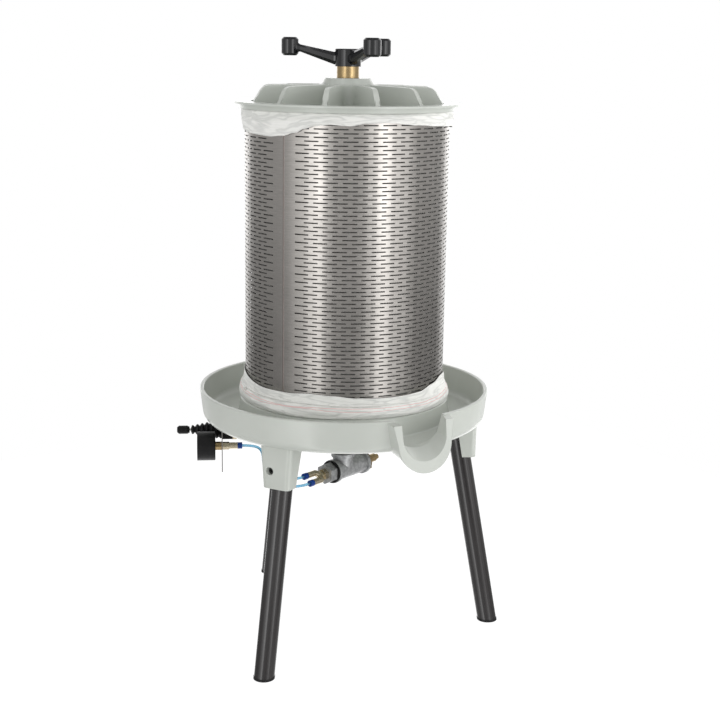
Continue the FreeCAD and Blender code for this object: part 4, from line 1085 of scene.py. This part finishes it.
# Control panel
@dataclass
class ControlPanel(Assembly):
    """The dial's print and the valve's bellows, drawn with X along the plate and Z outwards."""

    angle: float = 155.9
    radius: float = 262.0 * MM
    gauge_height: float = 408.5 * MM
    dial_top: float = 42.3 * MM
    dial_radius: float = 28.6 * MM
    dial_sweep: float = 270.0
    divisions: int = 20
    highest_number: int = 4
    tick_inset: float = 3.0 * MM
    long_tick: Pair = (0.7 * MM, 4.6 * MM)
    short_tick: Pair = (0.4 * MM, 2.6 * MM)
    print_depth: float = 0.05 * MM
    print_rise: float = 0.06 * MM
    number_inset: float = 11.5 * MM
    number_size: float = 6.4 * MM
    valve_place: Pair = (-50.0 * MM, 22.5 * MM)
    boot_base: float = 20.0 * MM
    boot_tip: float = 10.0 * MM
    boot_start: float = 4.0 * MM
    boot_length: float = 66.0 * MM
    boot_lip: float = 0.6 * MM
    boot_step: float = 0.8 * MM
    boot_bore: Pair = (17.8 * MM, 5.6 * MM)
    base_wall: float = 5.4 * MM
    tip_wall: float = 5.2 * MM
    bend_end: float = 26.0 * MM
    rings: int = 6
    # One ring by (share of its height, millimetres in from its crest); the tip by (radius,
    # millimetres above the bellows' length)
    ring_outline: tuple[Pair, ...] = (
        (0.12, 3.3), (0.25, 3.3), (0.45, 0.9), (0.55, 0.15), (0.65, 0.0), (0.75, 0.25), (0.86, 1.3))
    tip_outline: tuple[Pair, ...] = ((5.4, -0.5), (5.0, 0.0), (3.1, 0.0), (3.1, -3.0))

    def seat(self, across: float = 0.0, up: float = 0.0, out: float = 0.0) -> Matrix:
        """Return the matrix that carries a piece drawn about Z to its place on the plate.

        Args:
            across: Place along the plate from the gauge's centre.
            up: Place above it.
            out: Place out from the plate.

        Returns:
            The matrix.
        """
        normal = polar(1.0, self.angle, 0.0)
        along = Vector((-normal.y, normal.x, 0.0))
        turn = Matrix((along, (0, 0, 1), normal)).transposed().to_4x4()
        origin = normal * self.radius + Vector((0, 0, self.gauge_height))
        return Matrix.Translation(origin) @ turn @ Matrix.Translation((across, up, out))

    def dial_turn(self, share: float) -> float:
        """Return the turn in degrees of a place on the dial, which starts at the lower left."""
        return 0.5 * self.dial_sweep - self.dial_sweep * share

    def build_dial(self) -> None:
        """Print ticks and plain numbers on the dial."""
        bm = bmesh.new()
        for index in range(self.divisions + 1):
            long = index % 5 == 0
            width, length = self.long_tick if long else self.short_tick
            out = self.dial_radius - self.tick_inset - 0.5 * length
            tick = bmesh.ops.create_cube(bm, size=1.0)["verts"]
            bmesh.ops.scale(bm, vec=(width, length, self.print_depth), verts=tick)
            bmesh.ops.translate(bm, vec=(0, out, 0), verts=tick)
            bmesh.ops.rotate(bm, cent=CENTRE, verts=tick,
                             matrix=spin(self.dial_turn(index / self.divisions)))
        out = Vector((0, self.dial_radius - self.number_inset, 0))
        for number in range(self.highest_number + 1):
            text = bpy.data.curves.new("number", "FONT")
            text.body = str(number)
            text.size = self.number_size
            text.align_x = text.align_y = "CENTER"
            carrier = bpy.data.objects.new("number", text)
            shape = bpy.data.meshes.new_from_object(carrier)
            spot = spin(self.dial_turn(number / self.highest_number)) @ out
            shape.transform(Matrix.Translation(spot))
            bm.from_mesh(shape)
            bpy.data.objects.remove(carrier)
            bpy.data.meshes.remove(shape)
        seat = self.seat(out=self.dial_top + self.print_rise)
        bmesh.ops.transform(bm, matrix=seat, verts=bm.verts)
        self.shop.piece("dial_print", bm, PRINT_BLACK, Body.STAND, "needle_black")

    def build_boot(self) -> None:
        """Turn the rubber bellows, whose rings shrink towards the knob."""
        step = (self.boot_length - self.boot_start) / self.rings
        outline = [(self.boot_base - self.boot_lip, 0.0), (self.boot_base, self.boot_lip),
                   (self.boot_base, self.boot_start - self.boot_lip),
                   (self.boot_base - self.boot_step, self.boot_start)]
        for ring in range(self.rings):
            crest = self.boot_base + (self.boot_tip - self.boot_base) * ring / (self.rings - 1)
            low = self.boot_start + ring * step
            outline += [(crest - inset * MM, low + share * step)
                        for share, inset in self.ring_outline]
        outline += [(radius * MM, self.boot_length + rise * MM) for radius, rise in self.tip_outline]
        outline += [(self.boot_tip - self.tip_wall, self.boot_length - step),
                    (self.boot_base - self.base_wall, self.boot_start + step),
                    self.boot_bore, (self.boot_bore[0], 0.0)]
        bm = turned(outline, 64)
        seat = self.seat(*self.valve_place)
        bmesh.ops.transform(bm, matrix=seat, verts=bm.verts)
        bend = Bend(Body.LEVER, seat @ Vector((0, 0, self.boot_start)),
                    seat @ Vector((0, 0, self.bend_end)))
        self.shop.piece("bellows", bm, BLACK_RUBBER, Body.STAND, "black_rubber", ["lever_boot"],
                        50.0, bend)

    def build(self) -> None:
        """Make the dial's print and the bellows."""
        self.build_dial()
        self.build_boot()


# Studio
@dataclass
class Studio:
    """Camera, soft lamps, a pale floor and the white room that bright metal mirrors."""

    camera_place: Point = (-1.3720, -2.4263, 1.2448)
    azimuth: float = -30.179
    pitch: float = 13.109
    roll: float = 0.891
    lens: float = 66.97
    sensor: float = 36.0
    box_distance: float = 2.3
    box_height: float = 1.7
    box_middle: float = 1.0
    aim_height: float = 0.75
    # Each lamp's name, angle from the camera's side, power in watts and width
    lamps: tuple[tuple[str, float, float, float], ...] = (
        ("softbox_left", -40.0, 3.5, 0.85), ("softbox_right", 48.0, 5.0, 0.85),
        ("side_light", 100.0, 24.0, 1.6))
    floor_half: float = 1.5
    floor_colour: str = "#F2F2F2"
    floor_glow: float = 1.15
    glow_share: float = 0.85
    # Fades by how steeply a ray rises: from, to, level at the first, level at the second. The sky
    # lights matt surfaces; in mirrors the room fades at its low, foot and high parts.
    fades: tuple[tuple[float, float, float, float], ...] = (
        (-0.1, 0.9, 0.85, 0.74), (-0.26, -0.07, 0.32, 1.0), (-0.36, -0.27, 0.8, 0.0),
        (0.0, 0.22, 1.0, 0.5))
    brightest: float = 4.8
    mirrored: tuple[Pair, ...] = (
        (-180, 2.0), (-150, 2.0), (-140, 1.1), (-130, 0.64), (-114, 0.64), (-92, 0.70), (-78, 0.70),
        (-66, 0.84), (-58, 1.45), (-47, 1.55), (-42, 2.8), (-35, 2.7), (-31, 4.4), (-25, 3.2),
        (-19, 0.95), (-8, 0.95), (6, 0.88), (20, 0.92), (25, 1.8), (35, 2.2), (39, 4.6), (47, 4.2),
        (53, 2.1), (68, 1.95), (76, 1.45), (83, 0.84), (110, 0.74), (130, 0.64), (141, 1.1),
        (150, 2.0), (180, 2.0))

    def camera(self) -> None:
        """Set up the camera that the photograph was matched with."""
        turn, tip, twist = (math.radians(value) for value in (self.azimuth, self.pitch, self.roll))
        back = Vector((math.sin(turn) * math.cos(tip), -math.cos(turn) * math.cos(tip),
                       math.sin(tip)))
        right = Vector((math.cos(turn), math.sin(turn), 0.0))
        up = back.cross(right)
        rolled_right = right * math.cos(twist) + up * math.sin(twist)
        rolled_up = up * math.cos(twist) - right * math.sin(twist)
        data = bpy.data.cameras.new("camera")
        data.lens = self.lens
        data.sensor_width = self.sensor
        data.sensor_fit = "HORIZONTAL"
        camera = bpy.data.objects.new("camera", data)
        camera.matrix_world = (Matrix.Translation(self.camera_place)
                               @ Matrix((rolled_right, rolled_up, back)).transposed().to_4x4())
        bpy.context.scene.collection.objects.link(camera)
        bpy.context.scene.camera = camera

    def softbox(self, name: str, angle: float, power: float, width: float) -> None:
        """Stand a tall softbox beside the press; the room's table gives its mirror image.

        Args:
            name: Lamp name.
            angle: Direction from the press in degrees.
            power: Power in watts.
            width: Its width.
        """
        data = bpy.data.lights.new(name, "AREA")
        data.shape = "RECTANGLE"
        data.size, data.size_y = width, self.box_height
        data.energy = power
        lamp = bpy.data.objects.new(name, data)
        lamp.visible_glossy = False
        lamp.location = polar(self.box_distance, angle, self.box_middle)
        aim = Vector((0, 0, self.aim_height)) - lamp.location
        lamp.rotation_euler = aim.to_track_quat("-Z", "Y").to_euler()
        bpy.context.scene.collection.objects.link(lamp)

    def mirror(self, tree: Tree, way: Socket) -> Socket:
        """Read the mirrored room's level from its table.

        Args:
            tree: The world's node tree.
            way: Direction of the ray.

        Returns:
            The level, by the ray's angle from the camera's side.
        """
        sides = [add_node(tree, "VectorMath", {"operation": "DOT_PRODUCT", 1: polar(1.0, turn, 0.0)},
                          {0: way}).outputs["Value"] for turn in (self.azimuth, self.azimuth - 90.0)]
        angle = add_node(tree, "Math", {"operation": "ARCTAN2"}, {0: sides[0], 1: sides[1]})
        share = add_node(tree, "MapRange", {"From Min": -math.pi, "From Max": math.pi},
                         {"Value": angle.outputs[0]})
        ramp = add_node(tree, "ValToRGB", links={0: share.outputs[0]})
        stops = ramp.color_ramp.elements
        for place, (turn, level) in enumerate(self.mirrored):
            spot = (turn + 180.0) / 360.0
            stop = stops[place] if place < 2 else stops.new(spot)
            stop.position = spot
            stop.color = (*[level / self.brightest] * 3, 1.0)
        return add_node(tree, "Math", {"operation": "MULTIPLY", 1: self.brightest},
                        {0: ramp.outputs[0]}).outputs[0]

    def seen(self, tree: Tree, path: Node) -> Socket:
        """Return 1 for rays from the camera, straight or through glass, and 0 for the others."""
        return add_node(tree, "Math", {"operation": "MAXIMUM"},
                        {0: path.outputs["Is Camera Ray"],
                         1: path.outputs["Is Transmission Ray"]}).outputs[0]

    def world(self) -> None:
        """Light evenly from the sides, less from above, and show white behind the press."""
        world = bpy.data.worlds.new("studio")
        bpy.context.scene.world = world
        world.use_nodes = True
        tree = world.node_tree
        tree.nodes.clear()
        way = add_node(tree, "TexCoord").outputs["Generated"]
        axes = add_node(tree, "SeparateXYZ", links={0: way})
        ends = ("From Min", "From Max", "To Min", "To Max")
        sky, low, foot, high = [add_node(tree, "MapRange", dict(zip(ends, fade)),
                                         {"Value": axes.outputs[2]}).outputs[0]
                                for fade in self.fades]
        lower = add_node(tree, "Math", {"operation": "MAXIMUM"}, {0: low, 1: foot})
        share = add_node(tree, "Math", {"operation": "MINIMUM"}, {0: lower.outputs[0], 1: high})
        room = add_node(tree, "Math", {"operation": "MULTIPLY"},
                        {0: self.mirror(tree, way), 1: share.outputs[0]})
        path = add_node(tree, "LightPath")
        glossy = add_node(tree, "Mix", {"data_type": "FLOAT"},
                          {0: path.outputs["Is Glossy Ray"], 2: sky, 3: room.outputs[0]})
        level = add_node(tree, "Mix", {"data_type": "FLOAT", 3: 1.0},
                         {0: self.seen(tree, path), 2: glossy.outputs[0]})
        shade = add_node(tree, "Background", {"Color": (1, 1, 1, 1)},
                         {"Strength": level.outputs[0]})
        add_node(tree, "OutputWorld", links={"Surface": shade.outputs[0]})

    def floor(self) -> None:
        """Lay a pale floor that is white to the camera but keeps the press's soft shadow."""
        bm = bmesh.new()
        bmesh.ops.create_grid(bm, x_segments=1, y_segments=1, size=self.floor_half)
        mesh = bpy.data.meshes.new("floor")
        bm.to_mesh(mesh)
        bm.free()
        material = bpy.data.materials.new("Pale studio floor")
        material.use_nodes = True
        tree = material.node_tree
        tree.nodes.clear()
        matt = add_node(tree, "BsdfDiffuse", {"Color": linear(self.floor_colour)})
        glow = add_node(tree, "Emission", {"Color": (1, 1, 1, 1), "Strength": self.floor_glow})
        share = add_node(tree, "Math", {"operation": "MULTIPLY", 1: self.glow_share},
                         {0: self.seen(tree, add_node(tree, "LightPath"))})
        blend = add_node(tree, "MixShader", links={0: share.outputs[0], 1: matt.outputs[0],
                                                   2: glow.outputs[0]})
        add_node(tree, "OutputMaterial", links={"Surface": blend.outputs[0]})
        mesh.materials.append(material)
        floor = bpy.data.objects.new("floor", mesh)
        floor.visible_glossy = False
        bpy.context.scene.collection.objects.link(floor)

    def build(self) -> None:
        """Set the whole studio."""
        self.camera()
        for name, angle, power, width in self.lamps:
            self.softbox(name, self.azimuth - 90.0 + angle, power, width)
        self.world()
        self.floor()
        bpy.context.scene.view_settings.view_transform = "Standard"


def main() -> None:
    """Build the studio, dress the nodes and make every new piece."""
    logging.basicConfig(level=logging.INFO)
    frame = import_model()
    Studio().build()
    shop = Workshop()
    AirTubes(shop).build()
    shop.dress_nodes(frame["nodes"])
    PerforatedBasket(shop).build()
    PressCloths(shop).build()
    ControlPanel(shop).build()


if __name__ == "__main__":
    main()
